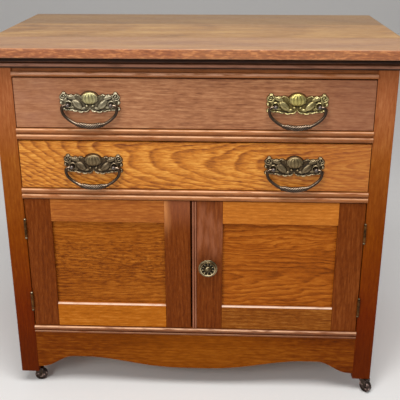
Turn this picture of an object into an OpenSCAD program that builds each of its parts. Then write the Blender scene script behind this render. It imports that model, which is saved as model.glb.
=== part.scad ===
// Oak washstand on casters: two drawers over a cupboard with two panelled doors.
// Millimetres. X runs to the right, Y to the back and Z up.
// The origin is on the floor, under the middle of the top.

/* [Top] */
// Width of the top, side to side
top_w = 840; // [760:1:960]
// Depth of the top, front to back
top_d = 496; // [440:1:560]
// Thickness of the top
top_t = 19; // [16:0.5:26]
// Depth of the front board of the top
front_board_d = 134; // [100:1:160]
// Depth of the middle board of the top
middle_board_d = 189; // [150:1:220]
// Rounding of the edges of the top
top_edge_r = 2.5; // [1:0.1:5]
// Reach of the top past each side of the case
side_over = 29; // [20:0.5:40]
// Reach of the top past the front of the case
front_over = 29; // [29:0.5:40]
// Reach of the top past the back of the case
back_over = 10; // [8:0.5:30]

/* [Heights up the front] */
// Floor to the foot of a post
caster_h = 34; // [34:0.5:40]
// Foot of a post to the low ends of the apron
foot_reveal = 13.5; // [6:0.5:20]
// Height of the apron at its ends
apron_h = 89.5; // [85:0.5:110]
// Bottom rail, with its two beads
bottom_rail_h = 18; // [16:0.5:26]
// Opening for the doors
door_open_h = 302; // [280:1:330]
// Rail over the doors, with its two beads
head_rail_h = 23; // [20:0.5:30]
// Opening for each drawer
drawer_open_h = 104; // [98:0.5:125]
// Rail between the drawers, with its two beads
divider_h = 24; // [20:0.5:30]
// Part of the top rail seen under the cornice
top_rail_h = 18; // [16:0.5:24]
// Cornice moulding under the top
cornice_h = 23; // [18:0.5:28]

/* [Case frame] */
// Width of a post across the front
post_w = 39; // [34:0.5:48]
// Depth of a post, front to back
post_d = 36; // [32:0.5:44]
// Small chamfer that eases the edges of the frame
edge_ease = 0.8; // [0.3:0.1:1.5]
// Depth of the front rails, front to back
rail_d = 55; // [50:0.5:65]
// Depth of the top rail, front to back
top_rail_d = 40; // [32:0.5:45]
// Set-back of the rails behind the faces of the posts
rail_set = 1.5; // [0.5:0.1:3]
// Height of the upper bead on each rail
bead_h = 10; // [8:0.1:11]
// Flat between the two beads of a rail
bead_gap = 2; // [1:0.1:3]
// Reach of a bead in front of its rail
bead_out = 5; // [3:0.1:5]
// Extra set-back of the flat over the bead of the top rail
top_flat_set = 2; // [1:0.1:4]
// Length of the tenons on all rails
tenon_l = 12; // [8:0.5:14]
// Thickness of the tenons
tenon_t = 10; // [6:0.5:12]
// Shoulder over and under each tenon
tenon_shoulder = 3; // [2:0.5:5]
// Thickness of the side rails
side_rail_t = 20; // [18:0.5:26]
// Height of the upper side rails
side_rail_h = 60; // [50:1:80]
// Height of the lower side rails
side_low_rail_h = 70; // [50:1:80]
// Thickness of the side panels
side_panel_t = 8; // [6:0.5:10]
// Depth of the grooves that hold the panels
groove_d = 8; // [6:0.5:10]
// Room left round a panel in its grooves
panel_play = 1; // [0.5:0.1:2]
// Thickness of the back rails
back_rail_t = 20; // [16:0.5:24]
// Height of the back rails
back_rail_h = 60; // [45:1:80]
// Thickness of the back boards
back_board_t = 8; // [6:0.5:10]
// Number of back boards
back_board_count = 4; // [2:1:6]
// Gap between back boards
back_board_gap = 1; // [0.5:0.1:2]
// Thickness of the cupboard floor
floor_t = 14; // [12:0.5:16]
// Thickness of the apron
apron_t = 20; // [16:0.5:24]
// Set-back of the apron behind the posts
apron_set = 1; // [0.5:0.1:3]
// Line of glue between two boards
glue_line = 0.1; // [0.05:0.01:0.2]

/* [Apron outline] */
// Flat end of the apron beside each post
apron_end_w = 9; // [5:0.5:40]
// Run of the steep curve beside the end
apron_rise_w = 72; // [40:1:80]
// Height of the two arches over the flat ends
arch_rise = 28; // [20:0.5:40]
// Flat at the top of each arch
arch_flat_w = 26; // [10:1:50]
// Height of the middle of the apron over the flat ends
middle_rise = 3.5; // [0:0.5:15]
// How late the long curve climbs to the arch
long_curve_power = 1.5; // [1:0.1:2.5]

/* [Cornice] */
// Reach of the cornice at its top
cornice_out = 13; // [10:0.5:16]
// Reach of the cornice at its bottom
cornice_low_out = 5; // [3:0.5:8]
// Height of the round band in the cornice
cornice_band_h = 11; // [8:0.5:13]
// Reach of the round band
cornice_band_out = 10; // [9:0.5:12]
// Fillet at the top of the cornice
cornice_fillet_h = 3; // [2:0.5:5]

/* [Carrying the drawers] */
// Thickness of the drawer runners
runner_t = 20; // [16:0.5:22]
// Reach of a runner inside the opening
runner_in = 18; // [14:0.5:24]
// Height of the guides beside the drawers
guide_h = 15; // [10:0.5:20]
// Width of the top cleats
cleat_w = 20; // [18:0.5:30]
// Length of a stop block
stop_w = 40; // [20:1:60]
// Height of a stop block
stop_h = 6; // [4:0.5:8]
// Depth of a stop block
stop_d = 18; // [10:0.5:25]
// Middle of a drawer stop, from the middle of the case
stop_x = 220; // [100:1:280]
// Gap between a stop and what it stops
stop_gap = 0.3; // [0.1:0.1:1]

/* [Drawers] */
// Thickness of a drawer front
front_t = 20; // [18:0.5:24]
// Set-back of the drawer fronts behind the posts
front_set = 1; // [0.5:0.1:3]
// Gap beside a drawer front
front_gap = 1.5; // [1:0.1:2.5]
// Gap over a drawer front
front_gap_top = 2.5; // [1.5:0.1:4]
// Gap under a drawer front
front_gap_low = 1.5; // [1:0.1:2.5]
// Lift of the drawer sides over the runners
slide_gap = 0.3; // [0.2:0.1:0.8]
// Thickness of the drawer sides
drawer_side_t = 12; // [10:0.5:14]
// Height of the drawer sides
drawer_side_h = 92; // [80:1:94]
// Room behind the drawers, to the back rails
drawer_back_room = 20; // [8:0.5:80]
// Thickness of the drawer back
drawer_back_t = 12; // [9:0.5:14]
// Drop of the drawer back under the top of the sides
drawer_back_drop = 8; // [4:0.5:15]
// Thickness of the drawer bottom
drawer_bottom_t = 6; // [4:0.5:8]
// Lower edge of a side to its groove
bottom_groove_z = 10; // [9:0.5:14]
// Depth of the groove for the bottom
bottom_groove_d = 6; // [4:0.5:8]
// Room left round a drawer bottom in its grooves
bottom_play = 0.5; // [0.2:0.1:1]
// Dovetails on each drawer side
tail_count = 4; // [3:1:5]
// Length of a dovetail
tail_l = 14; // [10:0.5:15]

/* [Drawer pulls] */
// Side of the opening to the middle of a pull
pull_inset = 150.5; // [120:0.5:200]
// Drop of the pivots under the middle of a drawer front
pull_drop = 1.5; // [0:0.5:6]
// Distance between the two posts of a pull
pivot_span = 84; // [78:0.5:90]
// Bail pivots in front of the drawer front
pivot_out = 12; // [11:0.5:14]
// Thickness of the sheet brass
plate_t = 1.6; // [1:0.1:2.5]
// Width of the ribbed shell
shell_w = 37; // [30:0.5:42]
// Height of the ribbed shell
shell_h = 26; // [20:0.5:28]
// Reach of the ribbed shell
shell_out = 9; // [6:0.5:10]
// Ribs on the shell
shell_ribs = 9; // [5:2:11]
// Middle of the shell over the pivots
shell_up = 13; // [11:0.5:16]
// Diameter of the shank of a post
shank_d = 5; // [4:0.1:6]
// Diameter of the round head of a post
post_head_d = 9; // [7.5:0.1:10]
// Diameter of the pin ends of a bail
bail_pin_d = 3; // [2.5:0.1:3.5]
// Room round a bail pin in its post
bail_play = 0.08; // [0.05:0.01:0.1]
// Diameter of the bail rod
bail_d = 6; // [5:0.1:7]
// Diameter of the bail grip
grip_d = 9; // [8:0.1:10]
// Drop of the middle of the grip under the pivots
bail_drop = 43; // [40:0.5:48]
// Gap between the head of a post and the bend of its bail
bail_post_gap = 0.5; // [0.3:0.1:6]
// Radius of the bend next to each post
bail_bend_r = 7; // [5:0.5:9]
// Radius of the lower corners of the bail
bail_corner_r = 22; // [16:0.5:28]
// Length of the grip
grip_l = 48; // [36:1:56]
// Width of a pull nut across its flats
nut_w = 10; // [9:0.5:12]
// Thickness of a pull nut
nut_t = 3; // [2:0.5:4]

/* [Doors] */
// Thickness of the doors
door_t = 20; // [18:0.5:24]
// Set-back of the doors behind the posts
door_set = 1; // [0.5:0.1:3]
// Gap over, under and beside the doors
door_gap = 1.5; // [1.2:0.1:2.5]
// Meeting line of the doors, from the middle of the case
meeting_x = -5.35; // [-10:0.05:10]
// Gap between the two doors
meeting_gap = 3.3; // [2.5:0.1:5]
// Width of the door stiles
stile_w = 54; // [46:0.5:62]
// Height of the upper door rails
door_top_rail_h = 49; // [42:0.5:60]
// Height of the lower door rails
door_low_rail_h = 55; // [45:0.5:65]
// Thickness of the door panels
door_panel_t = 8; // [6:0.5:8]
// Face of a door to the face of its panel
door_panel_set = 7; // [5:0.5:8]
// Chamfer along the ledge under a door panel
ledge_ease = 2.5; // [1:0.1:4]
// Width of the double-bead strip on the right door
bead_strip_w = 9.9; // [8:0.1:12]
// Reach of the double bead in front of the door
bead_strip_out = 2; // [1:0.1:2.4]

/* [Hinges] */
// Height of a hinge
hinge_h = 38; // [34:1:48]
// Top of a door to the middle of its upper hinge
hinge_from_top = 66; // [50:1:90]
// Bottom of a door to the middle of its lower hinge
hinge_from_low = 60; // [50:1:90]
// Thickness of a hinge leaf
leaf_t = 1.6; // [1.2:0.1:2]
// Depth of a hinge leaf, front to back
leaf_d = 16; // [14:0.5:18]
// Gap between the closed leaves
leaf_gap = 0.3; // [0.2:0.1:0.5]
// Diameter of a hinge knuckle
knuckle_d = 5.5; // [5:0.1:6.5]
// Knuckles on each hinge
knuckle_count = 5; // [3:2:7]
// Gap between two knuckles
knuckle_gap = 0.3; // [0.2:0.1:0.5]
// Gap between a knuckle and the face of the post
knuckle_clear = 0.25; // [0.2:0.05:0.6]
// Diameter of a hinge pin
hinge_pin_d = 3; // [2.5:0.1:3.4]
// Room round a pin in the knuckles of the door
hinge_pin_play = 0.06; // [0.04:0.01:0.1]
// Room round a pin in the knuckles of the case
hinge_pin_fit = 0.02; // [0.01:0.01:0.03]
// Diameter of the ball tips of a hinge pin
ball_d = 5; // [4.4:0.1:6]
// Length of a hinge screw in the wood
hinge_screw_l = 11; // [8:0.5:14]
// Diameter of a hinge screw
hinge_screw_d = 2.6; // [2.2:0.1:3]
// Diameter of the head of a hinge screw
hinge_screw_head_d = 5; // [4.2:0.1:5.6]
// Room round a screw in its leaf
screw_play = 0.05; // [0.03:0.01:0.1]

/* [Knob and latch] */
// Edge of the right lock stile to the middle of the knob
knob_inset = 24; // [20:0.5:32]
// Bottom of the door opening to the middle of the knob
knob_up = 155; // [120:1:200]
// Reach of the knob in front of the door
knob_out = 24; // [20:0.5:26]
// Diameter of the knob at its back shoulder
knob_d = 40; // [34:0.5:42]
// Diameter of the front rim of the knob
knob_rim_d = 31; // [27:0.5:31.5]
// Diameter of the dome in the middle of the knob
knob_dome_d = 15; // [11:0.5:16]
// Dimples round the dome
dimple_count = 10; // [6:1:12]
// Diameter of a dimple
dimple_d = 4.4; // [3:0.1:5]
// Diameter of the rose on the door
rose_d = 24; // [20:0.5:30]
// Thickness of the rose
rose_t = 1.5; // [1:0.1:2.5]
// Diameter of the knob spindle
spindle_d = 6; // [5:0.1:7]
// Room round the spindle
spindle_play = 0.06; // [0.04:0.01:0.1]
// Length of the latch tongue
tongue_l = 58; // [55:0.5:66]
// Width of the latch tongue
tongue_w = 14; // [10:0.5:18]
// Thickness of the latch tongue
tongue_t = 2.5; // [1.5:0.1:3]
// Gap between the tongue and the backs of the doors
tongue_gap = 0.5; // [0.3:0.1:1]

/* [Bolt of the left door] */
// Diameter of the bolt
bolt_d = 5; // [4:0.1:6]
// Room round the bolt in its staples
bolt_play = 0.06; // [0.04:0.01:0.1]
// Travel of the bolt
bolt_travel = 12; // [9:0.5:14]
// Length of the plate under the bolt
bolt_plate_l = 62; // [58:1:80]
// Width of the plate under the bolt
bolt_plate_w = 16; // [14:0.5:20]
// Thickness of the plate under the bolt
bolt_plate_t = 1.5; // [1:0.1:2]
// Height of a staple
staple_h = 8; // [6:0.5:10]
// Wall of a staple round the bolt
staple_wall = 2; // [1.5:0.1:3]
// Top of the door to the end of the plate
bolt_plate_drop = 8; // [5:0.5:15]
// Thickness of the strike plate
strike_t = 0.8; // [0.5:0.1:1]
// Gap between the resting bolt and the top edge of the door
bolt_rest_drop = 0.5; // [0.3:0.1:1]

/* [Casters] */
// Diameter of a wheel
wheel_d = 27; // [22:0.5:27]
// Width of a wheel
wheel_w = 12; // [9:0.5:14]
// Offset of a wheel behind its stem
trail = 18.5; // [16:0.5:24]
// Gap between a wheel and its cheeks
cheek_gap = 0.5; // [0.3:0.1:1]
// Thickness of a cheek
cheek_t = 1.8; // [1.4:0.1:2.5]
// Thickness of the plate over a wheel
yoke_t = 4; // [3:0.1:4.5]
// Diameter of an axle
axle_d = 4; // [3:0.1:5]
// Room round an axle in its wheel
axle_play = 0.08; // [0.04:0.01:0.1]
// Room round an axle in its cheeks
axle_fit = 0.03; // [0.02:0.01:0.05]
// Diameter of a stem
stem_d = 8; // [7:0.1:9]
// Length of a stem
stem_l = 32; // [26:0.5:34]
// Room round a stem in its socket
stem_play = 0.06; // [0.04:0.01:0.1]
// Wall of a socket
socket_wall = 1.5; // [1:0.1:2]
// Thickness of the flange of a socket
flange_t = 1.5; // [1:0.1:2]
// Turn of the front left caster
front_left_turn = 7; // [0:1:359]
// Turn of the front right caster
front_right_turn = 311; // [0:1:359]
// Turn of the rear left caster
rear_left_turn = 205; // [0:1:359]
// Turn of the rear right caster
rear_right_turn = 318; // [0:1:359]

/* [Screws and blocks] */
// Diameter of a screw that holds the top
top_screw_d = 4.5; // [4:0.1:5.5]
// Diameter of the head of a top screw
top_screw_head_d = 8.5; // [7.5:0.1:10]
// Depth of the counterbore for a top screw
top_screw_sink = 14; // [8:0.5:20]
// Reach of a top screw into the top
top_screw_bite = 12; // [8:0.5:14]
// Screws in each top cleat
top_screw_count = 3; // [2:1:4]
// Side of a glue block
glue_block_w = 20; // [15:0.5:20]
// Height of the glue blocks beside the posts
glue_block_h = 50; // [30:1:60]
// Middle glue blocks, from the middle of the case
glue_block_x = 120; // [60:1:200]

/* [Hidden] */
$fn = 48;

// Colours of the finishes
top_oak = [0.66, 0.47, 0.30];
frame_oak = [0.55, 0.31, 0.15];
cornice_oak = [0.38, 0.22, 0.12];
upper_oak = [0.64, 0.41, 0.28];
lower_oak = [0.76, 0.47, 0.18];
door_oak = [0.46, 0.23, 0.10];
panel_oak = [0.66, 0.38, 0.14];
pale_wood = [0.72, 0.58, 0.40];
old_brass = [0.48, 0.42, 0.24];
dark_bronze = [0.25, 0.20, 0.15];
steel_grey = [0.50, 0.50, 0.50];
dark_iron = [0.22, 0.21, 0.20];

// Levels over the floor
foot_z = caster_h;
apron_z = foot_z + foot_reveal;
apron_top_z = apron_z + apron_h;
door_z = apron_top_z + bottom_rail_h;
head_z = door_z + door_open_h;
lower_drawer_z = head_z + head_rail_h;
divider_z = lower_drawer_z + drawer_open_h;
upper_drawer_z = divider_z + divider_h;
top_rail_z = upper_drawer_z + drawer_open_h;
cornice_z = top_rail_z + top_rail_h;
case_top_z = cornice_z + cornice_h;
top_z = case_top_z + top_t;

// Cuts run this far past the faces that they open, and a tenon starts this far in its rail
past = 1;
tenon_root = 1;

// Faces of the case
case_x = top_w / 2 - side_over;
open_x = case_x - post_w;
front_y = -top_d / 2 + front_over;
back_y = top_d / 2 - back_over;
rail_y = front_y + rail_set;
rail_back_y = rail_y + rail_d;
post_back_y = front_y + post_d;
rear_post_y = back_y - post_d;
side_in_x = case_x - side_rail_t;
side_panel_x = case_x - side_rail_t / 2 - side_panel_t / 2;
back_board_y = back_y - back_board_t;
back_rail_y = back_board_y - back_rail_t;
floor_z = door_z - floor_t;
side_low_z = floor_z - side_low_rail_h;
side_top_z = case_top_z - side_rail_h;
apron_y = front_y + apron_set;
cleat_lift = 1;
top_cleat_z = top_rail_z + cleat_lift;
tenon_y = front_y + post_d / 3 - tenon_t / 2;
back_tenon_y = back_rail_y + back_rail_t / 2 - tenon_t / 2;
side_tenon_x = case_x - side_rail_t / 2 - tenon_t / 2;

// Casters stand under the middles of the posts
caster_x = case_x - post_w / 2;
front_caster_y = front_y + post_d / 2;
rear_caster_y = back_y - post_d / 2;
socket_r = stem_d / 2 + stem_play + socket_wall;
socket_room = 4;
socket_l = stem_l + socket_room;
socket_seat = 0.03;
flange_lip = 3;
flange_r = socket_r + flange_lip;
axle_z = wheel_d / 2;
yoke_gap = 0.3;
yoke_z = foot_z - flange_t - yoke_gap - yoke_t;
cheek_y = wheel_w / 2 + cheek_gap;
cheek_wall = 3;
cheek_r = axle_d / 2 + cheek_wall;
rivet_t = 1.3;
rivet_lip = 1.5;
rivet_gap = 0.1;
hub_wall = 3;
tread_t = 3.5;
wheel_chamfer = 1.5;

// Drawers
drawer_y = front_y + front_set;
drawer_in_y = drawer_y + front_t;
drawer_end_y = back_rail_y - drawer_back_room;
drawer_x = open_x - front_gap;
drawer_in_x = drawer_x - drawer_side_t;
tail_pitch = drawer_side_h / tail_count;
tail_root = 0.28;
tail_tip = 0.38;

// Pulls, given from the pivot line of the pull.
// The stamped ornament is one set of forms: each lobe of the outline is [x, z, radius],
// and each swelling is [x, z, radius, reach in front of the sheet].
pull_x = open_x - pull_inset;
pull_up = (front_gap_low + drawer_open_h - front_gap_top) / 2 - pull_drop;
pivot_y = drawer_y - pivot_out;
post_play = 0.1;
nut_fit = 0.05;
shank_past = 1.5;
rib_depth = 0.12;
shell_rim = 2;
swelling_root = 0.2;
bail_end_gap = 0.3;
bail_half_w = pivot_span / 2 + post_head_d / 2 + bail_post_gap + bail_bend_r;
rod_end_gap = 0.2;
bail_swelling = 0.3;
collar_swelling = 0.8;
plate_core = [108, 22];
plate_lobes = [
    [26, 9, 9], [40, 8, 9.5], [52, 14, 8], [50, 21.5, 4.5], [54.5, 4, 5.5],
    [55, -9, 5], [44, -9, 7.5], [30, -10.5, 8.5], [11, -10.5, 9.5]
];
plate_swellings = [
    [26, 8.5, 9, 3], [32, -6, 9, 3.5], [37, 13, 5, 2], [51, 17, 6, 3],
    [54, -9, 5, 2.5], [30, -14.5, 6, 2.5], [12, -14, 7, 2.5], [6, -3.8, 4, 3]
];
upper_pull_z = upper_drawer_z + pull_up;
lower_pull_z = lower_drawer_z + pull_up;

// Doors
door_y = front_y + door_set;
door_back_y = door_y + door_t;
door_low_z = door_z + door_gap;
door_top_z = head_z - door_gap;
door_edge_x = open_x - door_gap;
left_edge_x = meeting_x - meeting_gap / 2;
right_edge_x = meeting_x + meeting_gap / 2;
right_stile_x = right_edge_x + bead_strip_w;
door_panel_y = door_y + door_panel_set;
panel_low_z = door_low_z + door_low_rail_h;
panel_top_z = door_top_z - door_top_rail_h;

// Hinges, on a line in front of the gap between door and post
pin_x = open_x - door_gap / 2;
pin_y = front_y - knuckle_clear - knuckle_d / 2;
knuckle_l = hinge_h / knuckle_count;
leaf_step = 0.4;
leaf_y = pin_y + knuckle_d / 2 + leaf_step;
leaf_back_y = front_y + leaf_d;
upper_hinge_z = door_top_z - hinge_from_top;
lower_hinge_z = door_low_z + hinge_from_low;
hinge_zs = [lower_hinge_z, upper_hinge_z];
case_leaf_x = pin_x + leaf_gap / 2;
door_leaf_x = pin_x - leaf_gap / 2 - leaf_t;
screw_spread = hinge_h / 3;
screw_stagger = 4;
leaf_mid_y = (front_y + leaf_back_y) / 2;
ball_gap = 0.1;

// Knob and latch
knob_x = right_stile_x + knob_inset;
knob_z = door_z + knob_up;
knob_gap = 0.3;
spindle_grip = 10;
spindle_room = 0.5;
spindle_fit = 0.02;
spindle_end = 1;
neck_r = spindle_d / 2 + 2;
rim_r = knob_rim_d / 2;
dome_r = knob_dome_d / 2;
shoulder_out = knob_out - 10;
rim_out = knob_out - 4;
dish_out = knob_out - 6.5;
dimple_r = (dome_r + rim_r) / 2 - 0.5;
dimple_depth = 1.6;

// Form of the knob from its neck to the wall of its dome: each point is [radius, reach]
knob_back = [
    [neck_r + 1.5, rose_t + knob_gap], [neck_r, rose_t + 3], [neck_r, shoulder_out / 2],
    [neck_r + 3, shoulder_out * 0.75], [knob_d / 2 - 2, shoulder_out - 0.5],
    [knob_d / 2, shoulder_out + 0.8], [knob_d / 2 - 0.6, shoulder_out + 2]
];
knob_front = [
    [rim_r + 0.8, rim_out - 1], [rim_r - 0.4, rim_out], [rim_r - 1.8, rim_out - 0.3],
    [rim_r - 4, dish_out], [dome_r, dish_out], [dome_r, dish_out + 1.2]
];

// Bolt
bolt_x = left_edge_x - stile_w / 2;
staple_w = bolt_d + 2 * bolt_play + 2 * staple_wall;
bolt_y = door_back_y + bolt_plate_t + staple_w / 2;
bolt_plate_top_z = door_top_z - bolt_plate_drop;
bolt_plate_z = bolt_plate_top_z - bolt_plate_l;
nub_r = 2.5;
nub_z = bolt_plate_z + staple_h + stop_gap + nub_r;
bolt_top_z = door_top_z - bolt_rest_drop;
strike_gap = 0.5;
strike_half_w = 16;
strike_screw_x = 10;
bolt_screw_z = 15;
bolt_hole_room = 2;
bolt_tail = 3;
nub_out = 5;

// Top screws
screw_head_t = 2.5;
screw_x = open_x - cleat_w / 2;
cleat_y = rail_y + top_rail_d;
cleat_l = back_rail_y - cleat_y;

// A box from its lowest corner to its highest
module block(lo, hi) {
    translate(lo) cube(hi - lo);
}

// The same on both sides of the middle of the case
module both_sides() {
    children();
    mirror([1, 0, 0]) children();
}

// A profile drawn in Y and Z, made solid from x0 to x1
module along_x(x0, x1) {
    translate([x0, 0, 0]) rotate([90, 0, 90]) linear_extrude(x1 - x0) children();
}

// An outline drawn in X and Z, made solid from y0 back to y1
module along_y(y0, y1) {
    translate([0, y1, 0]) rotate([90, 0, 0]) linear_extrude(y1 - y0) children();
}

// An outline drawn in X and Y, made solid from z0 to z1
module along_z(z0, z1) {
    translate([0, 0, z0]) linear_extrude(z1 - z0) children();
}

// A cylinder along Y from y0 to y1
module rod_y(r, x, z, y0, y1) {
    translate([x, y1, z]) rotate([90, 0, 0]) cylinder(h = y1 - y0, r = r);
}

// A rectangle with small chamfers
module eased(lo, hi) {
    e = edge_ease;
    polygon([
        [lo.x + e, lo.y], [hi.x - e, lo.y], [hi.x, lo.y + e], [hi.x, hi.y - e],
        [hi.x - e, hi.y], [lo.x + e, hi.y], [lo.x, hi.y - e], [lo.x, lo.y + e]
    ]);
}

// A board with its long edges eased, along X or along Z
module eased_x(lo, hi) {
    along_x(lo.x, hi.x) eased([lo.y, lo.z], [hi.y, hi.z]);
}
module eased_z(lo, hi) {
    along_z(lo.z, hi.z) eased([lo.x, lo.y], [hi.x, hi.y]);
}

// A rectangle with round corners
module round_rect(lo, hi, r) {
    square_lo = [lo.x, lo.y + r];
    square_hi = [hi.x, hi.y - r];
    translate(square_lo) square(square_hi - square_lo);
    translate([lo.x + r, lo.y]) square([hi.x - lo.x - 2 * r, hi.y - lo.y]);
    for (x = [lo.x + r, hi.x - r], y = [lo.y + r, hi.y - r]) translate([x, y]) circle(r);
}

// A half-round bead on a face, drawn in Y and Z
module bead(face_y, z_lo, h, out) {
    reach = min(out, h / 2);
    r = (h * h / 4 + reach * reach) / (2 * reach);
    intersection() {
        translate([face_y - reach + r, z_lo + h / 2]) circle(r);
        translate([face_y - reach, z_lo]) square([2 * reach, h]);
    }
}

// The top: three boards glued edge to edge, all edges rounded
module top_boards() color(top_oak) {
    first_seam_y = -top_d / 2 + front_board_d;
    second_seam_y = first_seam_y + middle_board_d;
    g = glue_line / 2;
    boards = [
        [-top_d / 2, first_seam_y - g], [first_seam_y + g, second_seam_y - g],
        [second_seam_y + g, top_d / 2]
    ];
    for (board = boards) {
        intersection() {
            along_x(-top_w / 2, top_w / 2)
                round_rect([-top_d / 2, case_top_z], [top_d / 2, top_z], top_edge_r);
            along_y(-top_d / 2, top_d / 2)
                round_rect([-top_w / 2, case_top_z], [top_w / 2, top_z], top_edge_r);
            block([-top_w / 2, board[0], case_top_z], [top_w / 2, board[1], top_z]);
        }
    }
}

// Section of the cornice: x is the reach from the case, y is the level
module cornice_section() {
    step = 1;
    band_top = cornice_band_h + step;
    cove_h = cornice_h - cornice_fillet_h - band_top;
    polygon([
        [0, 0], [cornice_low_out, 0], [cornice_low_out, step],
        for (a = [-75 : 15 : 75])
            [
                cornice_band_out + (cos(a) - 1) * cornice_band_h / 2,
                step + cornice_band_h / 2 * (1 + sin(a))
            ],
        [cornice_low_out + step, band_top],
        for (a = [15 : 15 : 75])
            [
                cornice_low_out + step + (cornice_out - cornice_low_out - step) * (1 - cos(a)),
                band_top + cove_h * sin(a)
            ],
        [cornice_out, cornice_h - cornice_fillet_h], [cornice_out, cornice_h], [0, cornice_h]
    ]);
}

// Cornice moulding: one length across the front and one down each side, mitred
module cornice_moulding() color(cornice_oak) {
    g = glue_line / 2;
    intersection() {
        translate([0, front_y, cornice_z]) mirror([0, 1, 0])
            along_x(-case_x - cornice_out, case_x + cornice_out) cornice_section();
        along_z(cornice_z, case_top_z) polygon([
            [-case_x - cornice_out + g, front_y - cornice_out],
            [case_x + cornice_out - g, front_y - cornice_out],
            [case_x - g, front_y], [-case_x + g, front_y]
        ]);
    }
    both_sides() intersection() {
        translate([case_x, 0, cornice_z])
            along_y(front_y - cornice_out, back_y) cornice_section();
        along_z(cornice_z, case_top_z) polygon([
            [case_x, front_y + g], [case_x + cornice_out, front_y - cornice_out + g],
            [case_x + cornice_out, back_y], [case_x, back_y]
        ]);
    }
}

// Tenons of a rail between two posts, rooted in the rail, and the mortises that they fill
module cross_tenons(y, z_lo, z_hi) {
    both_sides() block(
        [open_x - tenon_root, y, z_lo + tenon_shoulder],
        [open_x + tenon_l, y + tenon_t, z_hi - tenon_shoulder]);
}
module front_tenons() {
    cross_tenons(tenon_y, apron_z, apron_top_z);
    cross_tenons(tenon_y, apron_top_z, door_z);
    cross_tenons(tenon_y, head_z, lower_drawer_z);
    cross_tenons(tenon_y, divider_z, upper_drawer_z);
    cross_tenons(tenon_y, top_rail_z, case_top_z);
}
module back_tenons() {
    cross_tenons(back_tenon_y, floor_z - back_rail_h, floor_z);
    cross_tenons(back_tenon_y, case_top_z - back_rail_h, case_top_z);
}

// Tenons of the upper and lower side rails, each cut back to the groove of its rail
module side_tenons() {
    tenon_zs = [
        [side_low_z + tenon_shoulder, floor_z - groove_d],
        [side_top_z + groove_d, case_top_z - tenon_shoulder]
    ];
    for (z = tenon_zs) {
        block(
            [side_tenon_x, post_back_y - tenon_l, z[0]],
            [side_tenon_x + tenon_t, post_back_y + tenon_root, z[1]]);
        block(
            [side_tenon_x, rear_post_y - tenon_root, z[0]],
            [side_tenon_x + tenon_t, rear_post_y + tenon_l, z[1]]);
    }
}

// Room for a side panel in its grooves
module side_groove() {
    block(
        [side_panel_x, post_back_y - groove_d, floor_z - groove_d],
        [
            side_panel_x + side_panel_t, rear_post_y + groove_d,
            side_top_z + groove_d
        ]);
}

// Bore in the foot of a post for the socket of a caster
module foot_bore(y) {
    translate([caster_x, y, foot_z - past])
        cylinder(h = socket_l + 2 * past, r = socket_r + socket_seat);
}

// Front posts, which are also the stiles of the face
module front_posts() color(frame_oak) both_sides() difference() {
    eased_z([open_x, front_y, foot_z], [case_x, post_back_y, case_top_z]);
    front_tenons();
    side_tenons();
    side_groove();
    foot_bore(front_caster_y);
    for (z = hinge_zs) block(
        [open_x - past, front_y - past, z - hinge_h / 2],
        [case_leaf_x + leaf_t, leaf_back_y, z + hinge_h / 2]);
}

module rear_posts() color(frame_oak) both_sides() difference() {
    eased_z([open_x, rear_post_y, foot_z], [case_x, back_y, case_top_z]);
    back_tenons();
    side_tenons();
    side_groove();
    foot_bore(rear_caster_y);
}

// Upper and lower rails of the two sides
module side_rails() color(frame_oak) both_sides() {
    difference() {
        for (z = [[side_low_z, floor_z], [side_top_z, case_top_z]])
            block([side_in_x, post_back_y, z[0]], [case_x, rear_post_y, z[1]]);
        side_groove();
    }
    side_tenons();
}

module side_panels() color(panel_oak) both_sides() {
    block(
        [side_panel_x, post_back_y - groove_d + panel_play, floor_z - groove_d + panel_play],
        [
            side_panel_x + side_panel_t, rear_post_y + groove_d - panel_play,
            side_top_z + groove_d - panel_play
        ]);
}

// A front rail with two beads, between two levels
module beaded_rail(z_lo, z_hi) {
    along_x(-open_x, open_x) {
        translate([rail_y, z_lo]) square([rail_d, z_hi - z_lo]);
        bead(rail_y, z_hi - bead_h, bead_h, bead_out);
        bead(rail_y, z_lo, z_hi - z_lo - bead_h - bead_gap, bead_out);
    }
    cross_tenons(tenon_y, z_lo, z_hi);
}

// Top rail: one bead under a flat that is set back, and a land behind the cornice
module top_rail() color(frame_oak) {
    flat_y = rail_y + top_flat_set;
    along_x(-open_x, open_x) {
        translate([rail_y, top_rail_z]) square([top_rail_d, bead_h]);
        bead(rail_y, top_rail_z, bead_h, bead_out);
        translate([flat_y, top_rail_z]) square([top_rail_d - top_flat_set, case_top_z - top_rail_z]);
        translate([front_y, cornice_z]) square([top_rail_d + rail_set, cornice_h]);
    }
    cross_tenons(tenon_y, top_rail_z, case_top_z);
}

module drawer_divider() color(frame_oak) beaded_rail(divider_z, upper_drawer_z);

// Rail over the doors, with the hole that takes the bolt
module door_head_rail() color(frame_oak) difference() {
    beaded_rail(head_z, lower_drawer_z);
    translate([bolt_x, bolt_y, head_z - past])
        cylinder(h = bolt_travel + bolt_hole_room + past, r = bolt_d / 2 + strike_gap);
}

module bottom_rail() color(frame_oak) beaded_rail(apron_top_z, door_z);

// Level of the lower edge of the apron over its flat ends, at x from the middle
function apron_edge(x) =
    let (
        rise_x = open_x - apron_end_w,
        arch_x = rise_x - apron_rise_w,
        long_x = arch_x - arch_flat_w
    )
    x >= rise_x ? 0
    : x >= arch_x ? arch_rise * (1 - cos(180 * (rise_x - x) / apron_rise_w)) / 2
    : x >= long_x ? arch_rise
    : middle_rise + (arch_rise - middle_rise)
        * pow((1 - cos(180 * x / long_x)) / 2, long_curve_power);

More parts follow.
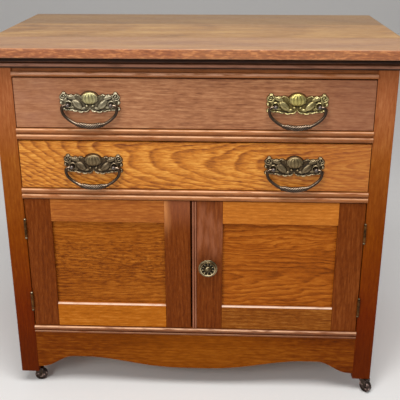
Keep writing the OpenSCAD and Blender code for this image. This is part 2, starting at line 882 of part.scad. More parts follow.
// Apron with a double arch along its lower edge
module apron() color(frame_oak) {
    rise_x = open_x - apron_end_w;
    long_x = rise_x - apron_rise_w - arch_flat_w;
    steep_steps = 10;
    long_steps = 16;
    xs = [
        open_x,
        for (i = [0 : steep_steps]) rise_x - i * apron_rise_w / steep_steps,
        for (i = [long_steps : -1 : 1]) i * long_x / long_steps
    ];
    along_y(apron_y, apron_y + apron_t) polygon([
        [-open_x, apron_top_z],
        for (x = xs) [-x, apron_z + apron_edge(x)],
        [0, apron_z + middle_rise],
        for (i = [len(xs) - 1 : -1 : 0]) [xs[i], apron_z + apron_edge(xs[i])],
        [open_x, apron_top_z]
    ]);
    cross_tenons(tenon_y, apron_z, apron_top_z);
}

module back_rails() color(pale_wood) {
    for (z = [floor_z, case_top_z]) {
        block(
            [-open_x, back_rail_y, z - back_rail_h],
            [open_x, back_board_y, z]);
        cross_tenons(back_tenon_y, z - back_rail_h, z);
    }
}

// Thin upright boards nailed over the back rails
module back_boards() color(pale_wood) {
    board_w = 2 * open_x / back_board_count;
    for (i = [0 : back_board_count - 1]) block(
        [-open_x + i * board_w + back_board_gap / 2, back_board_y, floor_z - back_rail_h],
        [-open_x + (i + 1) * board_w - back_board_gap / 2, back_y, case_top_z]);
}

// Cupboard floor, notched round the rear posts
module cupboard_floor() color(pale_wood) difference() {
    block([-side_panel_x, rail_back_y, floor_z], [side_panel_x, back_board_y, door_z]);
    both_sides()
        block([open_x, rear_post_y, floor_z - past], [case_x, back_y, door_z + past]);
}

// Runners that carry the sides of the drawers, level with the front rails
module drawer_runners() color(pale_wood) both_sides() {
    for (z = [lower_drawer_z, upper_drawer_z]) block(
        [open_x - runner_in, rail_back_y, z - runner_t],
        [side_in_x, rear_post_y, z]);
}

// Guides on the runners, which keep the drawers straight
module drawer_guides() color(pale_wood) both_sides() {
    for (z = [lower_drawer_z, upper_drawer_z]) block(
        [open_x, rail_back_y, z],
        [side_in_x, rear_post_y, z + guide_h]);
}

// Places of the screws along a top cleat
function top_screw_y(i) = cleat_y + cleat_l * (i + 0.5) / top_screw_count;

// Cleats under the top, which take its screws and keep the upper drawer from tipping
module top_cleats() color(pale_wood) both_sides() difference() {
    block([open_x - cleat_w, cleat_y, top_cleat_z], [open_x, back_rail_y, case_top_z]);
    for (i = [0 : top_screw_count - 1]) translate([screw_x, top_screw_y(i), 0]) {
        translate([0, 0, top_cleat_z - past])
            cylinder(h = top_screw_sink + past, r = top_screw_head_d / 2 + screw_play);
        translate([0, 0, top_cleat_z])
            cylinder(h = case_top_z - top_cleat_z + past, r = top_screw_d / 2 + screw_play);
    }
}

// Screws up through the cleats into the top
module top_screws() color(steel_grey) both_sides() {
    head_z0 = top_cleat_z + top_screw_sink - screw_head_t;
    for (i = [0 : top_screw_count - 1]) translate([screw_x, top_screw_y(i), head_z0]) {
        cylinder(h = screw_head_t, r = top_screw_head_d / 2);
        cylinder(h = case_top_z + top_screw_bite - head_z0, r = top_screw_d / 2);
    }
}

// Blocks that stop the drawers and the doors flush with the face
module stop_blocks() color(pale_wood) both_sides() {
    for (z = [lower_drawer_z, upper_drawer_z]) block(
        [stop_x - stop_w / 2, drawer_in_y + stop_gap, z],
        [stop_x + stop_w / 2, drawer_in_y + stop_gap + stop_d, z + stop_h]);
    block(
        [stop_x - stop_w / 2, door_back_y + stop_gap, head_z - stop_h],
        [stop_x + stop_w / 2, door_back_y + stop_gap + stop_d, head_z]);
}

// Blocks glued behind the apron
module glue_blocks() color(pale_wood) both_sides() {
    y = apron_y + apron_t;
    block(
        [open_x - glue_block_w, y, apron_top_z - glue_block_h],
        [open_x, y + glue_block_w, apron_top_z]);
    block(
        [glue_block_x - glue_block_w, y, apron_top_z - glue_block_w],
        [glue_block_x + glue_block_w, y + glue_block_w, apron_top_z]);
}

// Brass sockets in the feet of the posts
module caster_sockets() color(old_brass) both_sides() {
    for (y = [front_caster_y, rear_caster_y]) translate([caster_x, y, foot_z]) difference() {
        union() {
            translate([0, 0, -flange_t]) cylinder(h = flange_t, r = flange_r);
            translate([0, 0, -flange_t]) cylinder(h = flange_t + socket_l, r = socket_r);
        }
        translate([0, 0, -flange_t - past])
            cylinder(h = flange_t + socket_l + 2 * past, r = stem_d / 2 + stem_play);
    }
}

// A countersunk screw that points up, through a plate into wood, its head flush at 0
module wood_screw(plate, play) {
    shank_r = hinge_screw_d / 2 + play;
    cylinder(h = plate, r1 = hinge_screw_head_d / 2 + play, r2 = shank_r);
    cylinder(h = plate + hinge_screw_l, r = shank_r);
}

// The three staggered screws of a hinge leaf
module hinge_screws(x, z, way, play) {
    for (i = [-1 : 1]) {
        y = leaf_mid_y + (i == 0 ? screw_stagger : -screw_stagger) / 2;
        translate([x, y, z + i * screw_spread]) rotate([0, way * 90, 0]) wood_screw(leaf_t, play);
    }
}

// One leaf of a right-hand hinge: its plate from x0, and every other knuckle from the first
module hinge_leaf(x0, z, first, play, screw_x, way) {
    difference() {
        union() {
            block([x0, leaf_y, z - hinge_h / 2], [x0 + leaf_t, leaf_back_y, z + hinge_h / 2]);
            for (i = [first : 2 : knuckle_count - 1]) {
                z0 = z - hinge_h / 2 + i * knuckle_l + knuckle_gap / 2;
                z1 = z0 + knuckle_l - knuckle_gap;
                translate([pin_x, pin_y, z0]) cylinder(h = z1 - z0, d = knuckle_d);
                block([x0, pin_y, z0], [x0 + leaf_t, leaf_y, z1]);
            }
        }
        translate([pin_x, pin_y, z - hinge_h])
            cylinder(h = 2 * hinge_h, r = hinge_pin_d / 2 + play);
        hinge_screws(screw_x, z, way, screw_play);
    }
    hinge_screws(screw_x, z, way, 0);
}

module case_hinge_leaves() color(old_brass) both_sides() {
    for (z = hinge_zs) hinge_leaf(case_leaf_x, z, 0, hinge_pin_fit, case_leaf_x, 1);
}
module door_hinge_leaves() {
    for (z = hinge_zs) hinge_leaf(door_leaf_x, z, 1, hinge_pin_play, door_leaf_x + leaf_t, -1);
}

// Loose pins with a ball at each end
module hinge_pins() color(old_brass) both_sides() {
    ball_up = hinge_h / 2 + sqrt(pow(ball_d / 2, 2) - pow(hinge_pin_d / 2, 2)) + ball_gap;
    for (z = hinge_zs) translate([pin_x, pin_y, z]) {
        cylinder(h = 2 * ball_up, d = hinge_pin_d, center = true);
        for (s = [-1, 1]) translate([0, 0, s * ball_up]) sphere(d = ball_d);
    }
}

// Strike plate over the bolt, under the head rail, and its two screws
module strike_screws(play) {
    for (s = [-1, 1]) translate([bolt_x + s * strike_screw_x, bolt_y, head_z - strike_t])
        wood_screw(strike_t, play);
}
module bolt_strike() color(old_brass) {
    difference() {
        block(
            [bolt_x - strike_half_w, door_back_y + stop_gap, head_z - strike_t],
            [bolt_x + strike_half_w, bolt_y + bolt_plate_w / 2, head_z]);
        translate([bolt_x, bolt_y, head_z - 2 * past])
            cylinder(h = 3 * past, r = bolt_d / 2 + strike_gap);
        strike_screws(screw_play);
    }
    strike_screws(0);
}

// Tails on the front end of a drawer side, drawn in Y and Z
module tails(z0) {
    root = tail_root * tail_pitch;
    tip = tail_tip * tail_pitch;
    for (i = [0 : tail_count - 1]) {
        z = z0 + (i + 0.5) * tail_pitch;
        polygon([
            [drawer_in_y, z - root], [drawer_in_y - tail_l, z - tip],
            [drawer_in_y - tail_l, z + tip], [drawer_in_y, z + root]
        ]);
    }
}

// Groove round a drawer for its bottom
module bottom_groove(z0, play) {
    z = z0 + slide_gap + bottom_groove_z;
    block(
        [-drawer_in_x - bottom_groove_d + play, drawer_in_y - bottom_groove_d + play, z],
        [drawer_in_x + bottom_groove_d - play, drawer_end_y + past - play, z + drawer_bottom_t]);
}

// Drawer front, with sockets for the tails, a groove and holes for the pull posts
module drawer_front(z0) {
    pull_z = z0 + pull_up;
    difference() {
        eased_x(
            [-drawer_x, drawer_y, z0 + front_gap_low],
            [drawer_x, drawer_in_y, z0 + drawer_open_h - front_gap_top]);
        both_sides() {
            along_x(drawer_in_x, drawer_x + past) tails(z0 + slide_gap);
            for (s = [-1, 1]) rod_y(
                shank_d / 2 + post_play, pull_x + s * pivot_span / 2, pull_z,
                drawer_y - past, drawer_in_y + past);
        }
        bottom_groove(z0, 0);
    }
}

module drawer_sides_and_back(z0) {
    z = z0 + slide_gap;
    both_sides() difference() {
        union() {
            block([drawer_in_x, drawer_in_y, z], [drawer_x, drawer_end_y, z + drawer_side_h]);
            along_x(drawer_in_x, drawer_x) tails(z);
        }
        bottom_groove(z0, 0);
    }
    block(
        [-drawer_in_x + glue_line, drawer_end_y - drawer_back_t, z + bottom_groove_z + drawer_bottom_t],
        [drawer_in_x - glue_line, drawer_end_y, z + drawer_side_h - drawer_back_drop]);
}

module drawer_bottom(z0) {
    intersection() {
        bottom_groove(z0, bottom_play);
        block([-drawer_x, drawer_y, z0], [drawer_x, drawer_end_y, z0 + drawer_open_h]);
    }
}

// Outline of a stamped pull plate, drawn in X and Z about the pivot line
module plate_outline() {
    square(plate_core, center = true);
    translate([0, shell_up]) circle(shell_h / 2 + shell_rim);
    both_sides() for (lobe = plate_lobes) translate([lobe[0], lobe[1]]) circle(lobe[2]);
}

// Point of the ribbed shell at longitude a and latitude b
function shell_point(a, b) =
    let (rib = 1 - rib_depth * (1 - abs(sin(a * shell_ribs))))
    [
        shell_w / 2 * cos(b) * sin(a) * rib,
        -shell_out * cos(b) * cos(a) * rib,
        shell_h / 2 * sin(b)
    ];

// Half melon with ribs that run together at its top and bottom, flat at the back
module ribbed_shell() {
    cols = 4 * shell_ribs;
    rows = 8;
    grid = [
        for (j = [1 : rows - 1], i = [0 : cols])
            shell_point(-90 + 180 * i / cols, -90 + 180 * j / rows)
    ];
    low = len(grid);
    high = low + 1;
    n = cols + 1;
    last = (rows - 2) * n;
    polyhedron(
        points = concat(grid, [[0, 0, -shell_h / 2], [0, 0, shell_h / 2]]),
        faces = concat(
            [for (i = [0 : cols - 1]) [low, i, i + 1]],
            [for (i = [0 : cols - 1]) [high, last + i + 1, last + i]],
            [for (j = [0 : rows - 3], i = [0 : cols - 1])
                [j * n + i, (j + 1) * n + i, j * n + i + 1]],
            [for (j = [0 : rows - 3], i = [0 : cols - 1])
                [j * n + i + 1, (j + 1) * n + i, (j + 1) * n + i + 1]],
            [concat(
                [low], [for (j = [0 : rows - 2]) j * n + cols], [high],
                [for (j = [rows - 2 : -1 : 0]) j * n])]));
}

// Stamped plate: sheet, ribbed shell, and round swellings of the leaves and buds
module pull_plate(z) {
    translate([0, drawer_y, z]) difference() {
        union() {
            along_y(-plate_t, 0) plate_outline();
            translate([0, -plate_t / 2, shell_up]) ribbed_shell();
            both_sides() for (leaf = plate_swellings) intersection() {
                translate([leaf[0], leaf[2] - leaf[3] - plate_t, leaf[1]]) sphere(leaf[2]);
                block(
                    [leaf[0] - leaf[2] - past, -plate_t - leaf[3], leaf[1] - leaf[2] - past],
                    [leaf[0] + leaf[2] + past, swelling_root - plate_t, leaf[1] + leaf[2] + past]);
            }
        }
        both_sides() rod_y(shank_d / 2 + post_play, pivot_span / 2, 0, -shell_out, past);
    }
}

// Post with a drilled round head, and its square nut inside the drawer
module pull_post(x, z) {
    head_r = post_head_d / 2;
    shank_l = drawer_in_y + nut_t + shank_past - pivot_y;
    difference() {
        translate([x, pivot_y, z]) rotate([-90, 0, 0]) rotate_extrude() intersection() {
            union() {
                circle(head_r);
                square([shank_d / 2, shank_l]);
            }
            translate([0, -head_r]) square([head_r, head_r + shank_l]);
        }
        translate([x, pivot_y, z]) rotate([0, 90, 0])
            cylinder(h = 4 * head_r, r = bail_pin_d / 2 + bail_play, center = true);
    }
    difference() {
        block(
            [x - nut_w / 2, drawer_in_y, z - nut_w / 2],
            [x + nut_w / 2, drawer_in_y + nut_t, z + nut_w / 2]);
        rod_y(shank_d / 2 + nut_fit, x, z, drawer_in_y - past, drawer_in_y + nut_t + past);
    }
}

// A round swelling of the rod, at angle a of an arc about centre c
module rod_swelling(c, arc_r, a, r) {
    translate([c.x, 0, c.y]) rotate([0, -a, 0]) translate([arc_r, 0, 0]) sphere(r);
}

// An arc of round rod in the XZ plane, about centre c, from angle a0 to a1.
// Each end stops a hair short, inside the swelling that joins it to the next arc.
module rod_arc(c, arc_r, rod_r, a0, a1) {
    short = asin(rod_end_gap / arc_r);
    translate([c.x, 0, c.y]) rotate([90, 0, 0]) rotate([0, 0, a0 + short])
        rotate_extrude(angle = a1 - a0 - 2 * short) translate([arc_r, 0]) circle(rod_r);
}

// Cast bail: pin ends, a bend by each post, rounded lower corners and a thick grip,
// with a small swelling at each place where one curve of the rod meets the next
module bail(x, z) {
    rod_r = bail_d / 2;
    joint_r = rod_r + bail_swelling;
    pin_out = post_head_d / 2 + bail_end_gap;
    bend_x = bail_half_w - bail_bend_r;
    corner_x = bail_half_w - bail_corner_r;
    rise = bail_drop - bail_bend_r;
    bow_r = (corner_x * corner_x + rise * rise - bail_corner_r * bail_corner_r)
        / (2 * (rise - bail_corner_r));
    bow_z = bow_r - bail_drop;
    corner_a = atan2(bow_z + bail_bend_r, corner_x);
    grip_a = asin(grip_l / 2 / bow_r);
    translate([x, pivot_y, z]) {
        both_sides() {
            translate([pivot_span / 2 - pin_out, 0, 0]) rotate([0, 90, 0])
                cylinder(h = bend_x - pivot_span / 2 + pin_out + past, d = bail_pin_d);
            rod_arc([bend_x, -bail_bend_r], bail_bend_r, rod_r, 0, 90);
            rod_swelling([bend_x, -bail_bend_r], bail_bend_r, 0, joint_r);
            rod_arc([corner_x, -bail_bend_r], bail_corner_r, rod_r, -corner_a, 0);
            rod_swelling([0, bow_z], bow_r, -corner_a, joint_r);
            rod_arc([0, bow_z], bow_r, rod_r, grip_a - 90, -corner_a);
            rod_swelling([0, bow_z], bow_r, grip_a - 90, grip_d / 2 + collar_swelling);
        }
        rod_arc([0, bow_z], bow_r, grip_d / 2, -90 - grip_a, grip_a - 90);
    }
}

// Door frame parts between the outer edges x0 and x1
module door_groove(x0, x1) {
    block(
        [x0 + stile_w - groove_d, door_panel_y, door_low_z - past],
        [x1 - stile_w + groove_d, door_panel_y + door_panel_t, door_top_z + past]);
}
module door_stiles(x0, x1) {
    for (x = [x0, x1 - stile_w]) difference() {
        eased_z([x, door_y, door_low_z], [x + stile_w, door_back_y, door_top_z]);
        door_groove(x0, x1);
    }
}
module door_rails(x0, x1) {
    for (z = [[door_low_z, panel_low_z], [panel_top_z, door_top_z]]) difference() {
        union() {
            block([x0 + stile_w, door_y, z[0]], [x1 - stile_w, door_back_y, z[1]]);
            block(
                [x0 + stile_w - groove_d, door_panel_y, z[0]],
                [x1 - stile_w + groove_d, door_panel_y + door_panel_t, z[1]]);
        }
        block(
            [x0, door_panel_y, panel_low_z - groove_d],
            [x1, door_panel_y + door_panel_t, panel_top_z + groove_d]);
        along_x(x0, x1) polygon([
            [door_y - past, panel_low_z - ledge_ease - past],
            [door_y + ledge_ease + past, panel_low_z + past], [door_y - past, panel_low_z + past]
        ]);
    }
}
module door_panel(x0, x1) {
    edge = groove_d - panel_play;
    block(
        [x0 + stile_w - edge, door_panel_y, panel_low_z - edge],
        [x1 - stile_w + edge, door_panel_y + door_panel_t, panel_top_z + edge]);
}

// Gains for the leaves in the hinge stile of the right door
module door_gains() {
    for (z = hinge_zs) block(
        [door_leaf_x, door_y - past, z - hinge_h / 2],
        [open_x, leaf_back_y, z + hinge_h / 2]);
}

module left_door_stiles() color(door_oak) difference() {
    door_stiles(-door_edge_x, left_edge_x);
    mirror([1, 0, 0]) door_gains();
}
module left_door_rails() color(door_oak) door_rails(-door_edge_x, left_edge_x);
module left_door_panel() color(panel_oak) door_panel(-door_edge_x, left_edge_x);
module left_door_hinge_leaves() color(old_brass) mirror([1, 0, 0]) door_hinge_leaves();

module right_door_stiles() color(door_oak) difference() {
    door_stiles(right_stile_x, door_edge_x);
    door_gains();
    rod_y(spindle_d / 2 + spindle_play, knob_x, knob_z, door_y - past, door_back_y + past);
}
module right_door_rails() color(door_oak) door_rails(right_stile_x, door_edge_x);
module right_door_panel() color(panel_oak) door_panel(right_stile_x, door_edge_x);
module right_door_hinge_leaves() color(old_brass) door_hinge_leaves();

// Strip with two beads, glued to the free edge of the right door
module right_door_bead() color(frame_oak) along_z(door_low_z, door_top_z) {
    w = bead_strip_w / 2;
    bead_r = (w * w / 4 + bead_strip_out * bead_strip_out) / (2 * bead_strip_out);
    translate([right_edge_x, door_y]) square([bead_strip_w, door_t]);
    for (i = [0, 1]) translate([right_edge_x + i * w, door_y]) intersection() {
        translate([w / 2, bead_r - bead_strip_out]) circle(bead_r);
        translate([0, -bead_strip_out]) square([w, 2 * bead_strip_out]);
    }
}

// Plate and staples that hold the bolt on the back of the left door, and their two screws
module bolt_screws(play) {
    mid_z = bolt_plate_z + bolt_plate_l / 2;
    for (s = [-1, 1])
        translate([bolt_x, door_back_y + bolt_plate_t, mid_z + s * bolt_screw_z])
            rotate([90, 0, 0]) wood_screw(bolt_plate_t, play);
}
module bolt_barrel() color(dark_iron) {
    half = bolt_plate_w / 2;
    difference() {
        union() {
            block(
                [bolt_x - half, door_back_y, bolt_plate_z],
                [bolt_x + half, door_back_y + bolt_plate_t, bolt_plate_top_z]);
            for (z = [bolt_plate_z, bolt_plate_top_z - staple_h]) block(
                [bolt_x - staple_w / 2, door_back_y, z],
                [bolt_x + staple_w / 2, bolt_y + staple_w / 2, z + staple_h]);
        }
        translate([bolt_x, bolt_y, bolt_plate_z - past])
            cylinder(h = bolt_plate_l + 2 * past, r = bolt_d / 2 + bolt_play);
        bolt_screws(screw_play);
    }
    bolt_screws(0);
}

// Round bolt with a nub to push it by
module bolt_rod() color(dark_iron) {
    bolt_low_z = bolt_plate_z - bolt_tail;
    translate([bolt_x, bolt_y, bolt_low_z]) cylinder(h = bolt_top_z - bolt_low_z, d = bolt_d);
    rod_y(nub_r, bolt_x, nub_z, bolt_y, bolt_y + staple_w / 2 + nub_out);
}

// A turned piece about the axis of the knob: x is the radius, y is the reach from the door
module turned_on_door() {
    translate([knob_x, door_y, knob_z]) rotate([90, 0, 0]) rotate_extrude() children();
}

module knob_rose() color(old_brass) difference() {
    turned_on_door() polygon([
        [0, 0], [rose_d / 2, 0], [rose_d / 2, rose_t / 2],
        [rose_d / 2 - rose_t / 2, rose_t], [0, rose_t]
    ]);
    rod_y(spindle_d / 2 + spindle_play, knob_x, knob_z, door_y - rose_t - past, door_y + past);
}

// Knob: neck, swept back, rim, dish with dimples and a dome in the middle
module door_knob() color(old_brass) difference() {
    dome_base = dish_out + 1.2;
    turned_on_door() polygon([
        [0, rose_t + knob_gap], each knob_back, each knob_front,
        for (a = [15 : 15 : 90]) [dome_r * cos(a), dome_base + (knob_out - dome_base) * sin(a)]
    ]);
    for (i = [0 : dimple_count - 1]) translate([knob_x, door_y - dish_out, knob_z])
        rotate([0, 360 * i / dimple_count, 0])
            translate([dimple_r, dimple_depth - dimple_d / 2, 0]) sphere(d = dimple_d);
    rod_y(
        spindle_d / 2 + spindle_fit, knob_x, knob_z, door_y - rose_t - spindle_grip, door_y);
}

// Spindle through the door, with the tongue on its inner end, pointing up when unlatched
module latch_tongue() color(dark_iron) {
    tongue_y = door_back_y + tongue_gap;
    rod_y(
        spindle_d / 2, knob_x, knob_z,
        door_y - rose_t - spindle_grip + spindle_room, tongue_y + tongue_t + spindle_end);
    along_y(tongue_y, tongue_y + tongue_t) {
        translate([knob_x, knob_z]) circle(tongue_w / 2);
        translate([knob_x, knob_z + tongue_l - tongue_w / 2]) circle(tongue_w / 2);
        translate([knob_x - tongue_w / 2, knob_z]) square([tongue_w, tongue_l - tongue_w / 2]);
    }
}

// Places a caster under a post, turned so that its wheel trails at the angle turn
module caster_at(x, y, turn) {
    translate([x, y, 0]) rotate([0, 0, turn]) children();
}

// Fork: stem, plate over the wheel, two cheeks and the riveted axle
module fork() {
    cheek_top = yoke_z + yoke_t;
    difference() {
        union() {
            translate([0, 0, yoke_z]) cylinder(h = yoke_t, r = cheek_y + cheek_t);
            block(
                [0, -cheek_y - cheek_t, yoke_z],
                [trail + cheek_r, cheek_y + cheek_t, cheek_top]);
            translate([0, 0, yoke_z]) cylinder(h = yoke_t + yoke_gap + stem_l, d = stem_d);
            for (y = [-cheek_y - cheek_t, cheek_y]) along_y(y, y + cheek_t) {
                translate([trail, axle_z]) circle(cheek_r);
                polygon([
                    [trail - cheek_r, axle_z], [trail + cheek_r, axle_z],
                    [trail + cheek_r, cheek_top], [trail - 3 * cheek_r, cheek_top]
                ]);
            }
        }
        rod_y(axle_d / 2 + axle_fit, trail, axle_z, -cheek_y - 2 * cheek_t, cheek_y + 2 * cheek_t);
    }
    head = cheek_y + cheek_t + rivet_gap;
    rod_y(axle_d / 2, trail, axle_z, -head - rivet_t / 2, head + rivet_t / 2);
    for (y = [-head - rivet_t, head])
        rod_y(axle_d / 2 + rivet_lip, trail, axle_z, y, y + rivet_t);
}

// Wheel with a thin web between hub and tread
module wheel() {
    r = wheel_d / 2;
    w = wheel_w / 2;
    c = wheel_chamfer;
    bore_r = axle_d / 2 + axle_play;
    hub_r = bore_r + hub_wall;
    web_r = r - tread_t;
    translate([trail, 0, axle_z]) rotate([90, 0, 0]) rotate_extrude() polygon([
        [bore_r, -w], [hub_r, -w], [hub_r + c / 3, c - w], [web_r, c - w], [web_r + c / 3, -w],
        [r - c, -w], [r, c - w], [r, w - c], [r - c, w],
        [web_r + c / 3, w], [web_r, w - c], [hub_r + c / 3, w - c], [hub_r, w], [bore_r, w]
    ]);
}

// Each caster, where it stands
module front_left_caster() caster_at(-caster_x, front_caster_y, front_left_turn) children();
module front_right_caster() caster_at(caster_x, front_caster_y, front_right_turn) children();
module rear_left_caster() caster_at(-caster_x, rear_caster_y, rear_left_turn) children();
module rear_right_caster() caster_at(caster_x, rear_caster_y, rear_right_turn) children();

// The two plates and the four posts of one drawer
module pull_plates(z) {
    for (x = [-pull_x, pull_x]) translate([x, 0, 0]) pull_plate(z);
}
module pull_posts(z) {
    for (x = [-pull_x, pull_x], s = [-1, 1]) pull_post(x + s * pivot_span / 2, z);
}

top_boards();
cornice_moulding();
front_posts();
rear_posts();
side_rails();
side_panels();
top_rail();
drawer_divider();
door_head_rail();
bottom_rail();
apron();
back_rails();
back_boards();
cupboard_floor();
drawer_runners();
drawer_guides();
top_cleats();
stop_blocks();
glue_blocks();
top_screws();
caster_sockets();
case_hinge_leaves();
hinge_pins();
bolt_strike();
color(upper_oak) drawer_front(upper_drawer_z);  // upper_drawer_front
color(pale_wood) drawer_sides_and_back(upper_drawer_z);  // upper_drawer_sides_and_back
color(pale_wood) drawer_bottom(upper_drawer_z);  // upper_drawer_bottom
color(old_brass) pull_plates(upper_pull_z);  // upper_pull_plates
color(dark_bronze) pull_posts(upper_pull_z);  // upper_pull_posts
color(dark_bronze) bail(-pull_x, upper_pull_z);  // upper_left_bail
color(dark_bronze) bail(pull_x, upper_pull_z);  // upper_right_bail
color(lower_oak) drawer_front(lower_drawer_z);  // lower_drawer_front
color(pale_wood) drawer_sides_and_back(lower_drawer_z);  // lower_drawer_sides_and_back
color(pale_wood) drawer_bottom(lower_drawer_z);  // lower_drawer_bottom
color(old_brass) pull_plates(lower_pull_z);  // lower_pull_plates
color(dark_bronze) pull_posts(lower_pull_z);  // lower_pull_posts
color(dark_bronze) bail(-pull_x, lower_pull_z);  // lower_left_bail
color(dark_bronze) bail(pull_x, lower_pull_z);  // lower_right_bail
left_door_stiles();
left_door_rails();
left_door_panel();
left_door_hinge_leaves();
bolt_barrel();
bolt_rod();
right_door_stiles();
right_door_rails();
right_door_panel();
right_door_hinge_leaves();
right_door_bead();
knob_rose();
door_knob();
latch_tongue();
color(dark_iron) front_left_caster() fork();  // front_left_fork
color(dark_iron) front_right_caster() fork();  // front_right_fork
color(dark_iron) rear_left_caster() fork();  // rear_left_fork
color(dark_iron) rear_right_caster() fork();  // rear_right_fork
color(dark_iron) front_left_caster() wheel();  // front_left_wheel
color(dark_iron) front_right_caster() wheel();  // front_right_wheel
color(dark_iron) rear_left_caster() wheel();  // rear_left_wheel
color(dark_iron) rear_right_caster() wheel();  // rear_right_wheel
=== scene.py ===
import math

import bpy
import numpy as np
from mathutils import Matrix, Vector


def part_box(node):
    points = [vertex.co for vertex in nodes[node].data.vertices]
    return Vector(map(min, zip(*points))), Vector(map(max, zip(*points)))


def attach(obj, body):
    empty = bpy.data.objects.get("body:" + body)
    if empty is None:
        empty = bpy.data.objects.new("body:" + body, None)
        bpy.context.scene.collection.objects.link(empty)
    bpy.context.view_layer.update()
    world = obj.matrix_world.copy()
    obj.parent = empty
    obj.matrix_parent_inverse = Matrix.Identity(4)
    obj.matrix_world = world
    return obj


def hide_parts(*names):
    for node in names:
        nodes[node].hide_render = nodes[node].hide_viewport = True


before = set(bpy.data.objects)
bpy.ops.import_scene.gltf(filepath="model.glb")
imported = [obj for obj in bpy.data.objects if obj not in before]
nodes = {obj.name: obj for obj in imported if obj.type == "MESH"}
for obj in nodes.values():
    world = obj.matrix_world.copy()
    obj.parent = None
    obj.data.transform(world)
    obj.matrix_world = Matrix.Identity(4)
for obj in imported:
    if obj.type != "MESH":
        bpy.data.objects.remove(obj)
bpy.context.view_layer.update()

# Top: three old oak boards glued edge to edge, with the grain from side to side.
# Planed, stained and varnished, then rubbed by use, so that it shines in a pale sheen.
# The boards are screwed down from below, through cleats inside the case.


class Num:
    """A number that varies over a surface: Python's operators on it add Math nodes."""

    def __init__(self, finish, socket):
        self.finish = finish
        self.socket = socket

    def maths(self, operation, *values):
        return self.finish.node("Math", {"operation": operation}, dict(enumerate(values)))

    def __add__(self, other):
        return self.maths("ADD", self, other)

    def __radd__(self, other):
        return self.maths("ADD", other, self)

    def __sub__(self, other):
        return self.maths("SUBTRACT", self, other)

    def __rsub__(self, other):
        return self.maths("SUBTRACT", other, self)

    def __mul__(self, other):
        return self.maths("MULTIPLY", self, other)

    def __truediv__(self, other):
        return self.maths("DIVIDE", self, other)

    def __pow__(self, other):
        return self.maths("POWER", self, other)

    def __gt__(self, other):
        return self.maths("GREATER_THAN", self, other)

    def __lt__(self, other):
        return self.maths("LESS_THAN", self, other)


class Finish:
    """The shader of one finish, and the one method that adds a node to it."""

    def __init__(self, name):
        self.material = bpy.data.materials.new(name)
        self.material.use_nodes = True
        self.tree = self.material.node_tree
        self.tree.nodes.clear()
        self.shader = self.tree.nodes.new("ShaderNodeBsdfPrincipled")
        output = self.tree.nodes.new("ShaderNodeOutputMaterial")
        self.tree.links.new(self.shader.outputs[0], output.inputs["Surface"])
        self.point = self.node("TexCoord", out="Object")
        self.x, self.y, self.z = self.parts(self.point)

    def fill(self, node, inputs):
        """Links each input that varies, and sets each that doesn't."""
        for key, value in inputs.items():
            if isinstance(value, Num):
                self.tree.links.new(value.socket, node.inputs[key])
            else:
                node.inputs[key].default_value = value

    def node(self, kind, settings=None, inputs=None, out=0):
        """One of the outputs of a new node of any kind."""
        made = self.tree.nodes.new("ShaderNode" + kind)
        for key, value in (settings or {}).items():
            if key == "stops":
                stops = made.color_ramp.elements
                while len(stops) < len(value):
                    stops.new(1)
                for stop, (place, colour) in zip(stops, value):
                    stop.position = place
                    stop.color = colour
            else:
                setattr(made, key, value)
        self.fill(made, inputs or {})
        return Num(self, made.outputs[out])

    def parts(self, vector):
        """The three numbers of a vector."""
        return tuple(self.node("SeparateXYZ", {}, {0: vector}, out=axis) for axis in "XYZ")

    def facing(self):
        """The three numbers of the direction that the surface faces."""
        return self.parts(self.node("NewGeometry", out="Normal"))

    def near(self, place, low, high):
        """1 within low of a place, 0 beyond high, smooth between."""
        away = self.node(
            "VectorMath", {"operation": "DISTANCE"}, {0: self.point, 1: place}, out="Value")
        return 1.0 - self.smooth(away, low, high)

    def noise(self, stretch, seed, detail, rough=0.5):
        """Noise between 0 and 1, with stretch periods to a metre along x, y and z."""
        at = self.node(
            "VectorMath", {"operation": "MULTIPLY_ADD"},
            {0: self.point, 1: stretch, 2: (seed * 3.1, seed * 7.7, seed * 5.3)})
        return self.node(
            "TexNoise", {}, {"Vector": at, "Scale": 1.0, "Detail": detail, "Roughness": rough})

    def smooth(self, value, low, high):
        """0 where value is below low, 1 above high, smooth between."""
        return self.node(
            "MapRange", {"interpolation_type": "SMOOTHSTEP"},
            {"Value": value, "From Min": low, "From Max": high})

    def ramp(self, value, *stops):
        """The colour at value on a ramp, whose stops are a place and a colour each."""
        return self.node("ValToRGB", {"stops": stops}, {0: value})

    def mix(self, share, first, second, blend="MIX"):
        """The first colour where share is 0, the second where it is 1."""
        return self.node(
            "Mix", {"data_type": "RGBA", "blend_type": blend},
            {0: share, 6: first, 7: second}, out=2)

    def bump(self, height, distance, strength):
        """The surface's direction, bent by a relief."""
        return self.node(
            "Bump", {}, {"Height": height, "Distance": distance, "Strength": strength})

    def looks(self, **values):
        """Sets inputs of the shader, by their names."""
        self.fill(self.shader, {k.replace("_", " "): v for k, v in values.items()})


def srgb(r, g, b):
    """The shader's colour for a colour that is seen as r, g, b of 255."""
    return (*(((v / 255 + 0.055) / 1.055) ** 2.4 if v > 10 else v / 3294 for v in (r, g, b)), 1)


